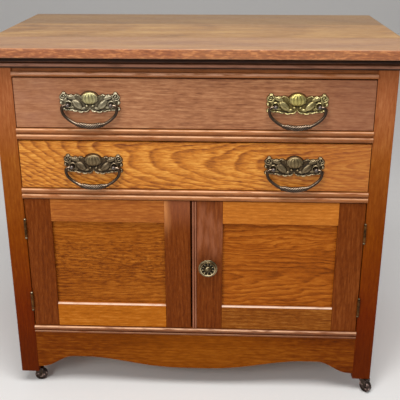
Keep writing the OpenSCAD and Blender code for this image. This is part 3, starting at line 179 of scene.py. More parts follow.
def oak(name, colours, grain, seed, heart=(0.0, 0.05), lean=0.08, pitch=0.007, figure=0.3,
        fibre=0.5, mottle=0.5, wave=0.012, patch=0.3, roughness=0.4, coat=0.0, shine=0.07,
        fall=None, tint=None):
    """Varnished oak in three colours, dark to light. The rings lie about a heart line that
    leans through the board, so that they cut its face in long arches along the grain."""
    f = Finish(name)
    along, across = {
        "x": (f.x, f.z), "z": (f.z, f.x), "top": (f.x, f.y), "side": (f.z, f.y),
        "deep": (f.y, f.x)}[grain]

    def stretch(g, a, d):
        """Periods along the grain, across it and into the board, as x, y and z."""
        return {"x": (g, d, a), "z": (a, d, g), "top": (g, a, d), "side": (d, a, g),
                "deep": (a, g, d)}[grain]

    slow = f.noise(stretch(2.5, 9, 9), seed, 2) - 0.5
    quick = f.noise(stretch(9, 40, 40), seed + 1, 2) - 0.5
    flame = f.noise(stretch(22, 85, 85), seed + 6, 2) - 0.5
    from_heart = across - heart[0] + slow * (wave * 2) + quick * (wave * 0.5) + flame * (wave * 0.3)
    if fall:
        from_heart = from_heart + fall(f, along)
    level = heart[1] + along * lean + slow * wave
    radius = (from_heart * from_heart + level * level) ** 0.5
    ring = f.node("Math", {"operation": "FRACT"}, {0: radius / pitch + seed * 0.37})
    dashes = f.noise(stretch(52, 430, 430), seed + 5, 2)
    late = ring ** 2.0 * f.smooth(ring, 1.0, 0.8) * (0.3 + f.smooth(dashes, 0.3, 0.65))
    streak = f.noise(stretch(11, 300, 300), seed + 2, 3, 0.65)
    pores = f.smooth(f.noise(stretch(70, 1100, 1100), seed + 3, 2), 0.56, 0.66)
    cloud = f.noise(stretch(2.6, 20, 20), seed + 4, 3)
    blotch = f.noise(stretch(50, 170, 170), seed + 7, 3, 0.65)
    tone = (0.5 + (streak - 0.5) * fibre + (dashes - 0.5) * mottle + (blotch - 0.5) * mottle * 0.8
            + (cloud - 0.5) * patch - (late - 0.2) * figure - pores * 0.1)
    colour = f.ramp(tone, *zip((0.12, 0.5, 0.86), (srgb(*c) for c in colours)))
    if tint:
        colour = tint(f, colour)
    f.looks(
        Base_Color=colour,
        Roughness=roughness + (cloud - 0.5) * 0.15 + pores * 0.1,
        Specular_IOR_Level=shine, Coat_Weight=coat, Coat_Roughness=0.2,
        Normal=f.bump(streak * 0.6 - pores - late * 0.25, 0.0003, 0.5))
    return f


def paint(finish, *names):
    """Gives a finish to nodes of the frame."""
    for name in names:
        nodes[name].data.materials.clear()
        nodes[name].data.materials.append(finish.material)


seams = (-0.114, 0.075)


def board_by_board(f, colour):
    """The front board is pinker and the back one browner. The front edge, where it faces
    forward, is redder in stain and darker as a painted shade, with orange and pale flecks."""
    front = f.y < seams[0]
    back = f.y > seams[1]
    colour = f.mix(front * 0.45, colour, srgb(180, 133, 106))
    colour = f.mix(back * 0.6, colour, srgb(134, 96, 48))
    flecks = f.noise((60, 200, 260), 62, 3, 0.7)
    edge_stain_and_shade = f.ramp(flecks, (0.36, srgb(118, 44, 14)), (0.5, srgb(154, 76, 34)),
                         (0.64, srgb(206, 128, 72)))
    # Forward-facing front edge: a redder stain, plus painted shade that darkens it against the lit
    # top.
    return f.mix(f.smooth(f.facing()[1], -0.5, -0.9) * 0.7, colour, edge_stain_and_shade)


paint(
    oak("top_oak", [(126, 80, 32), (182, 130, 68), (218, 172, 104)], "top", 1, heart=(0.02, 0.9),
        pitch=0.016, figure=0.2, fibre=0.8, mottle=0.4, patch=0.9, roughness=0.34, coat=0.25,
        shine=0.45, tint=board_by_board),
    "top_boards")

# Cornice: an oak moulding in three lengths, mitred at the front corners and glued on
# under the top. Its dark stain is deepened by painted shade under the overhang of the top, so that
# it is the darkest on the piece, and its round band carries a painted highlight.
band_top, cove, under_band = (0.7435, 0.7405), (0.741, 0.747), (0.7335, 0.7318)


def band_light_and_shade(f, colour):
    """The round band carries a painted highlight along its crest. Painted shadow fills the
    cove over it, under the top, and the line under it."""
    leaning = f.node("Math", {"operation": "ABSOLUTE"}, {0: f.facing()[2]})
    # Painted highlight along the crest of the round band, where it faces forward.
    lit_crest = f.smooth(leaning, 0.75, 0.15) * f.smooth(f.z, *band_top)
    broken = f.smooth(f.noise((24, 24, 200), 63, 3, 0.6), 0.25, 0.55)
    colour = f.mix(lit_crest * (0.4 + broken * 0.6) * 0.75, colour, srgb(176, 124, 98))
    # Painted shadow in the cove under the top and in the line under the band.
    darkened = f.smooth(f.z, *cove) + f.smooth(f.z, *under_band)
    return f.mix(darkened * 0.85, colour, srgb(24, 8, 0))


paint(
    oak("cornice_oak", [(26, 10, 2), (66, 34, 16), (104, 62, 38)], "x", 2, figure=0.1,
        fibre=0.5, coat=0.1, shine=0.12, tint=band_light_and_shade),
    "cornice_moulding")

# Face frame and sides: oak posts that run down to the casters, with the rails tenoned
# into them. The stain turned warm brown; it darkens near the floor, partly in the stain and partly
# as a painted shade.


def stain_and_shade_below(share):
    """Front and sides darken from the upper drawer down to the feet, and lose their yellow:
    partly the stain, partly a painted shade where the light falls off downward.
    """
    def tint(f, colour):
        # Ramp over height: stain together with a painted shade that deepens towards the floor.
        stain = f.ramp(
            f.z / 0.8, (0.12, srgb(150, 100, 0)), (0.25, srgb(168, 108, 8)),
            (0.48, srgb(200, 162, 46)), (0.68, srgb(231, 214, 136)), (0.83, srgb(255, 255, 255)))
        return f.mix(share, colour, stain, "MULTIPLY")
    return tint


post_colours = [(134, 68, 26), (163, 95, 55), (190, 124, 78)]
paint(
    oak("post_oak", post_colours, "z", 3, heart=(0.36, 0.2), lean=0.02, figure=0.12, fibre=0.4,
        patch=0.4, shine=0.04, tint=stain_and_shade_below(1.0)),
    "front_posts", "rear_posts")
paint(
    oak("side_oak", post_colours, "side", 4, figure=0.15, fibre=0.5, tint=stain_and_shade_below(0.6)),
    "side_rails")
paint(
    oak("side_panel_oak", [(128, 66, 20), (172, 102, 42), (200, 132, 66)], "side", 5,
        heart=(0.0, 0.06), lean=0.05, pitch=0.012, figure=0.35, tint=stain_and_shade_below(0.45)),
    "side_panels")

bead_foot_y, bead_top_y = -0.2193, -0.2208


def painted_bead_highlight(highlight, share, upward=(0.2, 0.75)):
    """The beads stand proud of their rail, and carry a painted highlight where they face up."""
    def tint(f, colour):
        proud = f.smooth(f.y, bead_foot_y, bead_top_y)
        up = f.smooth(f.facing()[2], *upward)
        broken = f.smooth(f.noise((24, 200, 200), 63, 3, 0.6), 0.28, 0.55)
        broken = broken * (1.0 - f.smooth(f.x, 0.1, 0.3) * 0.36)
        # Painted highlight on the upper side of each bead, weaker towards the right end.
        return f.mix(proud * (0.08 + up * 0.92) * broken * share, colour, srgb(*highlight))
    return tint


rail_colours = [(94, 44, 12), (153, 88, 40), (188, 116, 62)]
paint(
    oak("rail_oak", rail_colours, "x", 6, figure=0.08, fibre=0.6, patch=0.5, coat=0.1, shine=0.2,
        tint=painted_bead_highlight((236, 182, 136), 0.95)),
    "drawer_divider", "door_head_rail")
# The top rail's bead lies in shade under the cornice; a wider, brighter painted highlight lights
# it.
paint(
    oak("top_rail_oak", rail_colours, "x", 6, figure=0.08, fibre=0.6, patch=0.5, coat=0.1,
        shine=0.2, tint=painted_bead_highlight((226, 172, 138), 0.75, (-0.4, 0.3))),
    "top_rail")
paint(
    oak("bottom_rail_oak", [(76, 30, 4), (124, 62, 18), (156, 88, 36)], "x", 20, figure=0.08,
        fibre=0.6, patch=0.5, coat=0.1, shine=0.2,
        tint=painted_bead_highlight((240, 188, 146), 0.95, (0.15, 0.6))),
    "bottom_rail")


def golden_middle(f, colour):
    """The apron is more golden towards its middle."""
    middle = 1.0 - f.smooth(f.node("Math", {"operation": "ABSOLUTE"}, {0: f.x}), 0.02, 0.34)
    return f.mix(middle * 0.35, colour, srgb(152, 82, 4))


paint(
    oak("apron_oak", [(80, 28, 0), (118, 54, 4), (154, 86, 18)], "x", 7, figure=0.15,
        fibre=0.7, mottle=0.8, patch=0.8, shine=0.04, tint=golden_middle),
    "apron")

# Drawer fronts: single oak boards, dovetailed to pale sides. The upper one is pinkish with
# a fine straight grain. The lower one is golden, flat sawn, with bold arches.
face_oak_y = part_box("upper_drawer_front")[0][1]


def painted_sheen_at_the_left(f, colour):
    """A painted sheen, a pale lilac reflection, lies near the left end of the upper drawer,
    and its right end is darker."""
    cloudy = f.noise((14, 14, 24), 61, 2)
    share = f.near((-0.31, face_oak_y, 0.665), 0.0, 0.075) * f.smooth(cloudy, 0.25, 0.6)
    colour = f.mix(f.smooth(f.x, -0.12, -0.26) * 0.3, colour, srgb(150, 92, 58))
    colour = f.mix(f.smooth(f.x, 0.2, 0.31) * 0.5, colour, srgb(132, 78, 54))
    # Painted reflection: a pale lilac sheen near the left end.
    return f.mix(share * 0.4, colour, srgb(172, 124, 102))


def falls_to_the_right(f, along):
    """Left of the tips of its arches, the grain of the lower drawer runs down to the right."""
    beyond = f.node("Math", {"operation": "MAXIMUM"}, {0: -0.13 - along, 1: 0.0})
    return beyond * -0.34


def calmer_at_the_right(f, colour):
    """The lower drawer is browner at its right end, where its grain is finer."""
    return f.mix(f.smooth(f.x, 0.08, 0.34) * 0.6, colour, srgb(164, 90, 40))


paint(
    oak("upper_drawer_oak", [(120, 68, 38), (167, 109, 70), (198, 142, 98)], "x", 8,
        heart=(0.3, 0.2), lean=0.01, pitch=0.006, figure=0.1, fibre=0.7, mottle=0.8, patch=0.5,
        coat=0.1, shine=0.3, tint=painted_sheen_at_the_left),
    "upper_drawer_front")
paint(
    oak("lower_drawer_oak", [(120, 54, 2), (199, 119, 32), (234, 162, 68)], "x", 9,
        heart=(0.538, 0.062), lean=-0.13, pitch=0.0062, figure=0.55, fibre=0.6, mottle=1.0,
        wave=0.034, patch=0.5, coat=0.1, shine=0.25, fall=falls_to_the_right,
        tint=calmer_at_the_right),
    "lower_drawer_front")

# Hidden pieces: the drawer boxes, runners, guides, back, floor and blocks are of a pale
# wood, planed but never stained or varnished, and greyed with age.


def bare_wood(name, grain, seed):
    return oak(name, [(146, 100, 64), (188, 144, 102), (212, 174, 134)], grain, seed,
               heart=(0.1, 0.12), pitch=0.009, figure=0.25, fibre=0.4, patch=0.4,
               roughness=0.72)


paint(bare_wood("bare_wood_across", "x", 10), "back_rails", "stop_blocks", "glue_blocks",
      "cupboard_floor", "upper_drawer_bottom", "lower_drawer_bottom")
paint(bare_wood("bare_wood_upright", "z", 11), "back_boards")
paint(bare_wood("bare_wood_deep", "deep", 12), "drawer_runners",
      "drawer_guides", "top_cleats", "upper_drawer_sides_and_back",
      "lower_drawer_sides_and_back")

# Doors: oak frames, tenoned and glued, with a flat panel in their grooves. The stiles took
# a red stain; the rails and panels are golden brown. The free edge of the right door
# carries a strip with two beads, which covers the gap.
stile_colours = [(76, 26, 0), (116, 53, 8), (148, 80, 30)]


def middle(name):
    """The middle of a node's box, in metres."""
    low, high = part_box(name)
    return (low + high) / 2


knob_at = middle("door_knob")


def rubbed_by_the_knob(f, colour):
    """Hands have worn the lock stile of the right door pale and red above the knob."""
    scratched = f.noise((110, 110, 24), 31, 3)
    worn = f.near((knob_at.x - 0.012, face_oak_y, knob_at.z + 0.075), 0.02, 0.11)
    worn = worn * (0.3 + f.smooth(scratched, 0.36, 0.7) * 0.7)
    return f.mix(worn * 0.5, colour, srgb(176, 112, 80))


def golden_streak(f, colour):
    """A golden streak runs down the inner edge of the lock stile of the left door."""
    wavy = f.noise((60, 60, 12), 33, 2)
    at_the_edge = f.smooth(f.x + (wavy - 0.5) * 0.02, -0.046, -0.058)
    on_the_stile = f.x > -0.0625
    high_up = f.smooth(f.z, 0.36, 0.45) * on_the_stile
    colour = f.mix(f.smooth(f.z, 0.38, 0.45) * on_the_stile * 0.35, colour, srgb(170, 104, 74))
    return f.mix(at_the_edge * high_up * 0.85, colour, srgb(212, 138, 78))


paint(
    oak("left_stile_oak", stile_colours, "z", 13, heart=(-0.2, 0.1), figure=0.15, fibre=0.6,
        tint=golden_streak),
    "left_door_stiles")
paint(
    oak("right_stile_oak", stile_colours, "z", 14, heart=(0.2, 0.1), figure=0.15, fibre=0.6,
        tint=rubbed_by_the_knob),
    "right_door_stiles")

between_rails_z = 0.3
ledge_y = (-0.212, -0.2165)


def two_rails(upper, lower):
    """A door's upper and lower rails are from boards of different colour. The upward face
        of the ledge under the panel carries a painted highlight, broken in patches."""
    def tint(f, colour):
        is_upper = f.z > between_rails_z
        colour = f.mix(0.58, colour, f.mix(is_upper, srgb(*lower), srgb(*upper)))
        edge = f.smooth(f.facing()[2], 0.3, 0.6) * (1.0 - is_upper) * f.smooth(f.y, *ledge_y)
        # Painted highlight on the ledge, broken up by noise.
        worn = f.smooth(f.noise((30, 100, 100), 64, 3, 0.6), 0.2, 0.5)
        return f.mix(edge * (0.35 + worn * 0.65) * 0.85, colour, srgb(250, 216, 190))
    return tint


paint(
    oak("left_rail_oak", [(96, 40, 4), (164, 94, 26), (214, 142, 62)], "x", 15, figure=0.3,
        fibre=0.8, mottle=1.1, patch=0.5, tint=two_rails((170, 94, 42), (190, 104, 8))),
    "left_door_rails")
paint(
    oak("right_rail_oak", [(96, 40, 4), (164, 94, 26), (214, 142, 62)], "x", 16, figure=0.3,
        fibre=0.8, mottle=1.1, patch=0.5, tint=two_rails((206, 120, 40), (120, 60, 8))),
    "right_door_rails")


def dark_band(f, colour):
    """Dark flakes of figure lie across the middle of the left panel."""
    flakes = f.noise((75, 240, 240), 35, 3, 0.65)
    middle_third = f.smooth(f.z, 0.245, 0.29) * f.smooth(f.z, 0.385, 0.345)
    return f.mix(f.smooth(flakes, 0.5, 0.6) * middle_third * 0.55, colour, srgb(88, 34, 4))


paint(
    oak("left_panel_oak", [(98, 40, 2), (154, 82, 14), (188, 112, 34)], "x", 17,
        heart=(0.3, 0.02), lean=0.03, pitch=0.0065, figure=0.4, fibre=0.7, mottle=0.75,
        wave=0.04, patch=0.6, tint=dark_band),
    "left_door_panel")
paint(
    oak("right_panel_oak", [(104, 46, 4), (160, 82, 14), (194, 114, 34)], "x", 18,
        heart=(0.285, 0.02), lean=0.11, pitch=0.0075, figure=0.5, fibre=0.6, mottle=0.6,
        wave=0.05, patch=0.7),
    "right_door_panel")


def painted_bead_crests(f, colour):
    """The crests of the two beads carry a painted highlight, pale and a little pink."""
    lit_crest = f.smooth(f.facing()[1], -0.86, -0.97) * f.smooth(f.y, face_oak_y, face_oak_y - 0.001)
    return f.mix(lit_crest * 0.34, colour, srgb(204, 146, 116))


paint(
    oak("bead_strip_oak", [(80, 38, 18), (124, 68, 40), (158, 98, 66)], "z", 19, figure=0.08,
        tint=painted_bead_crests),
    "right_door_bead")

# Drawer pulls: a plate stamped from sheet brass, with a ribbed shell between leaves and
# scrolls, held on by two posts with round heads. The polish is left on the high places,
# and dirt and dark patina fill the hollows.
mm = 0.001


def brass(name, bright, dull, dark, roughness, gilt=None):
    """Old brass, bright where it is rubbed and dark in the hollows of its relief; on the bails
    and the knob the same values also paint a highlight and a shade. About the place in gilt
    it kept the yellow of new brass."""
    f = Finish(name)
    hollow = f.node("Attribute", {"attribute_name": "hollow"}, out="Fac")
    spots = f.noise((420, 420, 420), 21, 3)
    stain = f.noise((90, 90, 90), 22, 2)
    # Bright: rubbed polish on the plates, painted highlight on the bails and knob; deep: patina,
    # and painted shade on bails and knob.
    rubbed = f.smooth(hollow + (spots - 0.5) * 0.3 + (stain - 0.5) * 0.3, 0.6, 0.12)
    deep = f.smooth(hollow + (stain - 0.5) * 0.4, 0.55, 0.9)
    colour = f.mix(rubbed, srgb(*dull), srgb(*bright))
    if gilt:
        place, yellow = gilt
        colour = f.mix(f.near(place, 0.008, 0.018) * (0.35 + rubbed * 0.65), colour, srgb(*yellow))
    f.looks(
        Base_Color=f.mix(deep, colour, srgb(*dark)),
        Metallic=1.0 - deep * 0.6,
        Roughness=roughness + deep * 0.3 + (spots - 0.5) * 0.15,
        Normal=f.bump(spots, 0.0002, 0.35))
    return f


def piece(name, points, faces, finish, body, hollow):
    """A new smooth mesh piece that rides on a body. Points are in millimetres, and the last
    list says how dark each point is: how deep it lies in a hollow, and on the bails and
    the knob also its painted light and shade."""
    mesh = bpy.data.meshes.new(name)
    corners = [tuple(int(k) for k in face) for face in faces]
    mesh.from_pydata((np.asarray(points, float) * mm).tolist(), [], corners)
    mesh.shade_smooth()
    mesh.materials.append(finish.material)
    mesh.attributes.new("hollow", "FLOAT", "POINT").data.foreach_set(
        "value", np.asarray(hollow, np.float32))
    made = bpy.data.objects.new(name, mesh)
    bpy.context.scene.collection.objects.link(made)
    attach(made, body)
    return made


plate_lobes = [
    (25, 12, 9), (36, 11.5, 9), (45, 12.5, 8), (52, 14, 8), (50.5, 20.5, 5), (54.5, 4, 5.5),
    (55, -9, 5), (46, -6, 7.5), (38, -6.2, 8), (29, -7.8, 8.2), (18, -9.8, 8.2), (8.5, -9.2, 7.5)]
plate_half_w, plate_low, plate_high, plate_step = 61, -21, 28, 0.8
shell_x, shell_z, shell_up = 18.6, 13.5, 13.5
post_x = 42
scroll_x, scroll_z, scroll_r, scroll_pitch = 51.5, 16, 8.6, 4.2
ribbon_line = (
    [0, 3, 8, 16, 22, 28, 36, 42], [-9, -12, -14.6, -15.9, -15.2, -13.9, -11.4, -10.6])


def inside_plate(x, z):
    """How far a point lies inside the outline of the plate, in millimetres."""
    x = abs(x)
    reach = [r - np.hypot(x - cx, z - cz) for cx, cz, r in plate_lobes]
    shell = shell_up * (1 - np.hypot(x / shell_x, (z - shell_z) / shell_up))
    return np.max([*reach, shell, np.minimum(54 - x, 11 - abs(z))], axis=0)


def ribbed_shell(x, z):
    """Half a melon, its ribs run together at a point below its top."""
    u = (z - shell_z) / shell_up
    v = x / shell_x
    body = np.sqrt(np.clip(1 - u * u - v * v, 0, 1))
    drawn_in = np.sqrt(np.clip(1 - ((u + 0.17) / 0.83) ** 2, 0.004, 1)) * (u < 0.66) + 0.03
    ribs = np.abs(np.sin(np.arcsin(np.clip(v / drawn_in, -1, 1)) * 7.5))
    return 9.4 * body * (1 - 0.19 * (1 - ribs ** 0.6))


def swelling(x, z, cx, cz, long, wide, height, turn=0.0, flutes=0, cut=0.25):
    """An oval swelling, with flutes along it that run together at its ends."""
    c, s = math.cos(math.radians(turn)), math.sin(math.radians(turn))
    u = ((x - cx) * c + (z - cz) * s) / long
    v = ((z - cz) * c - (x - cx) * s) / wide
    body = np.sqrt(np.clip(1 - u * u - v * v, 0, 1))
    if flutes:
        lean = np.clip(v / np.sqrt(np.clip(1 - u * u, 0.05, 1)), -1, 1)
        body = body * (1 - cut * (1 - abs(np.sin(np.arcsin(lean) * flutes)) ** 0.6))
    return body * height


def fold(away, wide, height):
    """A round fold, from how far each point lies from its middle line."""
    return height * np.sqrt(np.clip(1 - (away / wide) ** 2, 0, 1))


def plate_relief(x, z):
    """Height of the stamped relief over the drawer front, in millimetres."""
    side = x
    x = abs(x)
    rim = np.clip(inside_plate(x, z), 0, 9)
    sheet = 1.9 * np.sqrt(np.clip(1 - (1 - np.minimum(rim / 1.5, 1)) ** 2, 0, 1))
    lower = 1 / (1 + np.exp((z + 8) / 1.2))
    upper = (1 / (1 + np.exp((14 - z) / 1.2))) * (x > 17)
    buds = 0.75 + 0.25 * np.cos(x * 2 * math.pi / 9.2 - 0.9)
    away = np.hypot(x - scroll_x, z - scroll_z)
    around = np.arctan2(z - scroll_z, x - scroll_x) / (2 * math.pi)
    turns = away / scroll_pitch - around
    scroll = fold((turns - np.round(turns)) * scroll_pitch, 1.5, 3.0) * (away < scroll_r)
    from_post = np.hypot(x - post_x, z)
    forms = [
        ribbed_shell(side, z),
        swelling(x, z, 25.5, 0.5, 13, 7.6, 6.0, 42, 2, 0.16),
        swelling(x, z, 35.5, 13.6, 9.5, 4.4, 4.4, 12, 2, 0.2),
        swelling(x, z, 36, -5.5, 7, 3.2, 3.2, 10, 2, 0.2),
        swelling(x, z, 47.5, 9, 6.5, 3.6, 3.6, 112, 3, 0.3),
        swelling(x, z, 57, -1.5, 7.5, 3.0, 3.6, 96, 2, 0.3),
        swelling(x, z, 14, -8.5, 6.5, 2.8, 2.8, 165, 2, 0.2),
        swelling(x, z, 5.8, -2.4, 3.4, 2.6, 6.4, 20),
        swelling(x, z, 0, -10.5, 3.4, 1.8, 3.2, 90),
        fold(z - np.interp(x, *ribbon_line), 1.9, 4.4) * (x < 41),
        swelling(x, z, 57, -11, 2.8, 2.6, 4.0),
        swelling(x, z, 23, 18.4, 2.6, 2.0, 4.0),
        swelling(x, z, 32, 18.2, 2.9, 2.0, 3.8),
        swelling(x, z, 41, 18, 2.7, 2.0, 3.8),
        fold(from_post - 6.4, 1.5, 3.1),
        fold(rim - 1.8, 1.5, 3.0) * lower * (x > 38),
        fold(rim - 1.5, 1.3, 2.4) * upper * buds,
        scroll,
    ]
    sharp = 2.2
    raised = np.log(np.sum([np.exp(sharp * form) for form in forms], axis=0) / len(forms)) / sharp
    raised = raised + math.log(len(forms)) / sharp * np.minimum(raised, 1)
    cup = np.exp(-(from_post / 4.6) ** 4)
    return np.where(rim > 0, np.minimum(
        sheet + (raised * 0.85 - cup) * np.minimum(rim / 1.2, 1), 2.6 * rim + 0.02), 0)


def softened(field, times):
    """The field with each point drawn towards its neighbours, a number of times."""
    for _ in range(times):
        padded = np.pad(field, 1, mode="edge")
        field = (padded[:-2, 1:-1] + padded[2:, 1:-1] + padded[1:-1, :-2] + padded[1:-1, 2:]
                 + 4 * field) / 8
    return field


def stamped_plate():
    """Points, faces and hollows of a plate about its pivot line, closed at the back."""
    x, z = np.meshgrid(
        np.arange(-plate_half_w, plate_half_w + 0.1, plate_step),
        np.arange(plate_low, plate_high + 0.1, plate_step), indexing="ij")
    height = plate_relief(x, z)
    hollow = np.clip(0.48 + (softened(height, 26) - height) * 0.26 + (z < -9) * 0.1, 0, 1)
    rim = inside_plate(x, z)
    inner = rim > 0
    for _ in range(4):
        slope_x = (inside_plate(x + 0.05, z) - inside_plate(x - 0.05, z)) / 0.1
        slope_z = (inside_plate(x, z + 0.05) - inside_plate(x, z - 0.05)) / 0.1
        size = np.maximum(slope_x ** 2 + slope_z ** 2, 0.2)
        now = inside_plate(x, z)
        near = ~inner & (now > -1.6 * plate_step)
        x = np.where(near, x - now * slope_x / size, x)
        z = np.where(near, z - now * slope_z / size, z)
    points, faces, shade = [], [], []
    front, back = {}, {}

    def place(i, j, book, level):
        if (i, j) not in book:
            book[i, j] = len(points)
            points.append((x[i, j], -level, z[i, j]))
            shade.append(hollow[i, j])
        return book[i, j]

    for i in range(x.shape[0] - 1):
        for j in range(x.shape[1] - 1):
            corners = [(i, j), (i + 1, j), (i + 1, j + 1), (i, j + 1)]
            if not any(inner[c] for c in corners):
                continue
            top = [place(*c, front, height[c] if inner[c] else 0.0) for c in corners]
            low = [place(*c, back, 0.0) if inner[c] else front[c] for c in corners]
            faces.append(top)
            faces.append(low[::-1])
    return np.array(points), faces, np.array(shade)


plate_points, plate_faces, plate_hollow = stamped_plate()
pull_places = [
    (row, side, middle(f"{row}_{side}_bail").x, middle(f"{row}_pull_posts").z)
    for row in ("upper", "lower") for side in ("left", "right")]
plate_colours = {
    "upper_left": ((194, 183, 152), (110, 99, 78), (34, 28, 21), 0.38, (204, 196, 134)),
    "upper_right": ((206, 192, 136), (122, 106, 62), (38, 31, 18), 0.35, (208, 196, 112)),
    "lower_left": ((150, 132, 104), (80, 64, 46), (27, 20, 13), 0.4, (134, 116, 84)),
    "lower_right": ((156, 138, 106), (84, 68, 48), (27, 20, 13), 0.4, (140, 122, 86))}
dark_bronze = brass("dark_bronze", (190, 166, 140), (78, 62, 50), (28, 21, 16), 0.3)
for row, side, x, level in pull_places:
    bright, dull, dark, roughness, yellow = plate_colours[f"{row}_{side}"]
    shell = (x, face_oak_y - 0.008, level + 0.014)
    made = piece(
        f"{row}_{side}_pull_plate", plate_points + np.array((x, face_oak_y, level)) / mm,
        plate_faces, brass(f"{row}_{side}_brass", bright, dull, dark, roughness, (shell, yellow)),
        f"{row}_drawer", plate_hollow)
    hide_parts(f"{row}_pull_plates")
paint(brass("post_bronze", (112, 102, 94), (84, 72, 64), (30, 24, 20), 0.4),
      "upper_pull_posts", "lower_pull_posts")

# Bails: cast brass handles gone dark, which hang from the posts by thin pins. The rod
# thickens towards a grip that is fluted on the slant, between two collars.
bail_y = middle("upper_left_bail").y
bend_x, bend_r, corner_x, corner_r, bow_r, bow_z = 47, 7, 32, 22, 65.571, 22.571
corner_turn = math.atan2(bow_z + bend_r, corner_x)
fluted_half = 21.5


def bail_line():
    """The middle line of the right half of a bail, from its pin to the middle of its grip."""
    pin = [(x, 0.0) for x in np.linspace(37.4, 46.5, 6)]
    bend = [(bend_x + bend_r * math.sin(a), -bend_r + bend_r * math.cos(a))
            for a in np.linspace(0, math.pi / 2, 9)]
    corner = [(corner_x + corner_r * math.cos(a), -bend_r - corner_r * math.sin(a))
              for a in np.linspace(0, corner_turn, 14)[1:]]
    bow = [(bow_r * math.cos(a), bow_z - bow_r * math.sin(a))
           for a in np.linspace(corner_turn, math.pi / 2, 70)[1:]]
    return np.array(pin + bend + corner + bow)


def bail_mesh(sides=28):
    """Points, faces and darkness of a bail about its pins, as a tube along its middle line.
    The darkness paints a highlight along the side that faces up and forward, painted shade
    round the rest, and patina in the grooves of the grip's flutes.
    """
    half = bail_line()
    line = np.vstack([half, (half * (-1, 1))[::-1][1:]])
    ahead = np.gradient(line, axis=0)
    ahead /= np.linalg.norm(ahead, axis=1)[:, None]
    out = np.stack([ahead[:, 1], -ahead[:, 0]], axis=1)
    from_middle = np.concatenate([[0], np.cumsum(np.hypot(*np.diff(line, axis=0).T))])
    from_middle -= from_middle[-1] / 2
    s = abs(from_middle)
    end = s.max()
    grip = 1 / (1 + np.exp((s - 22.5) / 1.3))
    radius = np.interp(
        s, [0, 24, 40, end - 14, end - 9, end - 7, end], [3.0, 3.1, 3.1, 2.9, 2.4, 1.5, 1.5])
    radius = radius + grip * (2.75 - 0.3 * (s / 24) ** 2)
    for place, wide, rise in ((24.4, 1.2, 1.6), (27.6, 0.9, 1.0)):
        radius = radius + rise * np.exp(-((s - place) / wide) ** 2)
    angle = np.arange(sides) * 2 * math.pi / sides
    flute = np.cos(7 * angle[None] + from_middle[:, None] * 1.25)
    on_grip = (1 / (1 + np.exp((s - fluted_half) / 0.6)))[:, None]
    tube = radius[:, None] * (1 - on_grip * 0.085 * (1 - flute))
    # Painted highlight on the side of the rod that faces up and forward; the rest takes painted
    # shade.
    facing = out[:, 1:] * np.cos(angle) * 0.8 - np.sin(angle) * 0.6
    hollow = np.clip(
        0.7 - (0.5 - on_grip * 0.25) * np.clip(facing, 0, 1) ** 4 - on_grip * flute * 0.36, 0, 1)
    x = line[:, :1] + out[:, :1] * tube * np.cos(angle)
    z = line[:, 1:] + out[:, 1:] * tube * np.cos(angle) + grip[:, None] * 1.5
    y = tube * np.sin(angle)
    points = np.stack([x, y, z], axis=-1).reshape(-1, 3)
    n = len(line)
    faces = [(i * sides + k, i * sides + (k + 1) % sides, (i + 1) * sides + (k + 1) % sides,
              (i + 1) * sides + k) for i in range(n - 1) for k in range(sides)]
    faces += [tuple(range(sides))[::-1], tuple((n - 1) * sides + k for k in range(sides))]
    return points, faces, hollow.ravel()


bail_points, bail_faces, bail_shade = bail_mesh()
for row, side, x, level in pull_places:
    made = piece(
        f"{row}_{side}_bail_handle", bail_points + np.array((x, bail_y, level)) / mm,
        bail_faces, dark_bronze, f"{row}_{side}_bail", bail_shade)
    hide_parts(f"{row}_{side}_bail")

# Knob: a stamped brass turn knob on the right door, with a sunk ring of ten dimples round
# a small dome. Its square-cut spindle goes through the stile and turns the iron latch.
knob_profile = [
    (6.5, 1.9), (5, 4.5), (5, 7), (8, 10.5), (18, 13.4), (19.9, 14.4), (19.9, 15.4), (19.2, 16.0),
    (16.6, 16.6), (16.2, 18.8), (15.2, 19.9), (14, 19.6), (13.0, 18.2), (11.6, 17.4), (8.6, 17.4),
    (7.6, 17.6), (7.4, 19.2), (6.8, 21), (5.4, 22.6), (3, 23.6), (0.02, 23.9)]


def rounded(profile, times=2):
    """The profile with its corners cut away, so that it turns as smoothly as a lathe does."""
    line = np.array(profile, float)
    for _ in range(times):
        cut = np.stack([line[:-1] * 0.75 + line[1:] * 0.25, line[:-1] * 0.25 + line[1:] * 0.75], 1)
        line = np.vstack([line[:1], cut.reshape(-1, 2), line[-1:]])
    return line


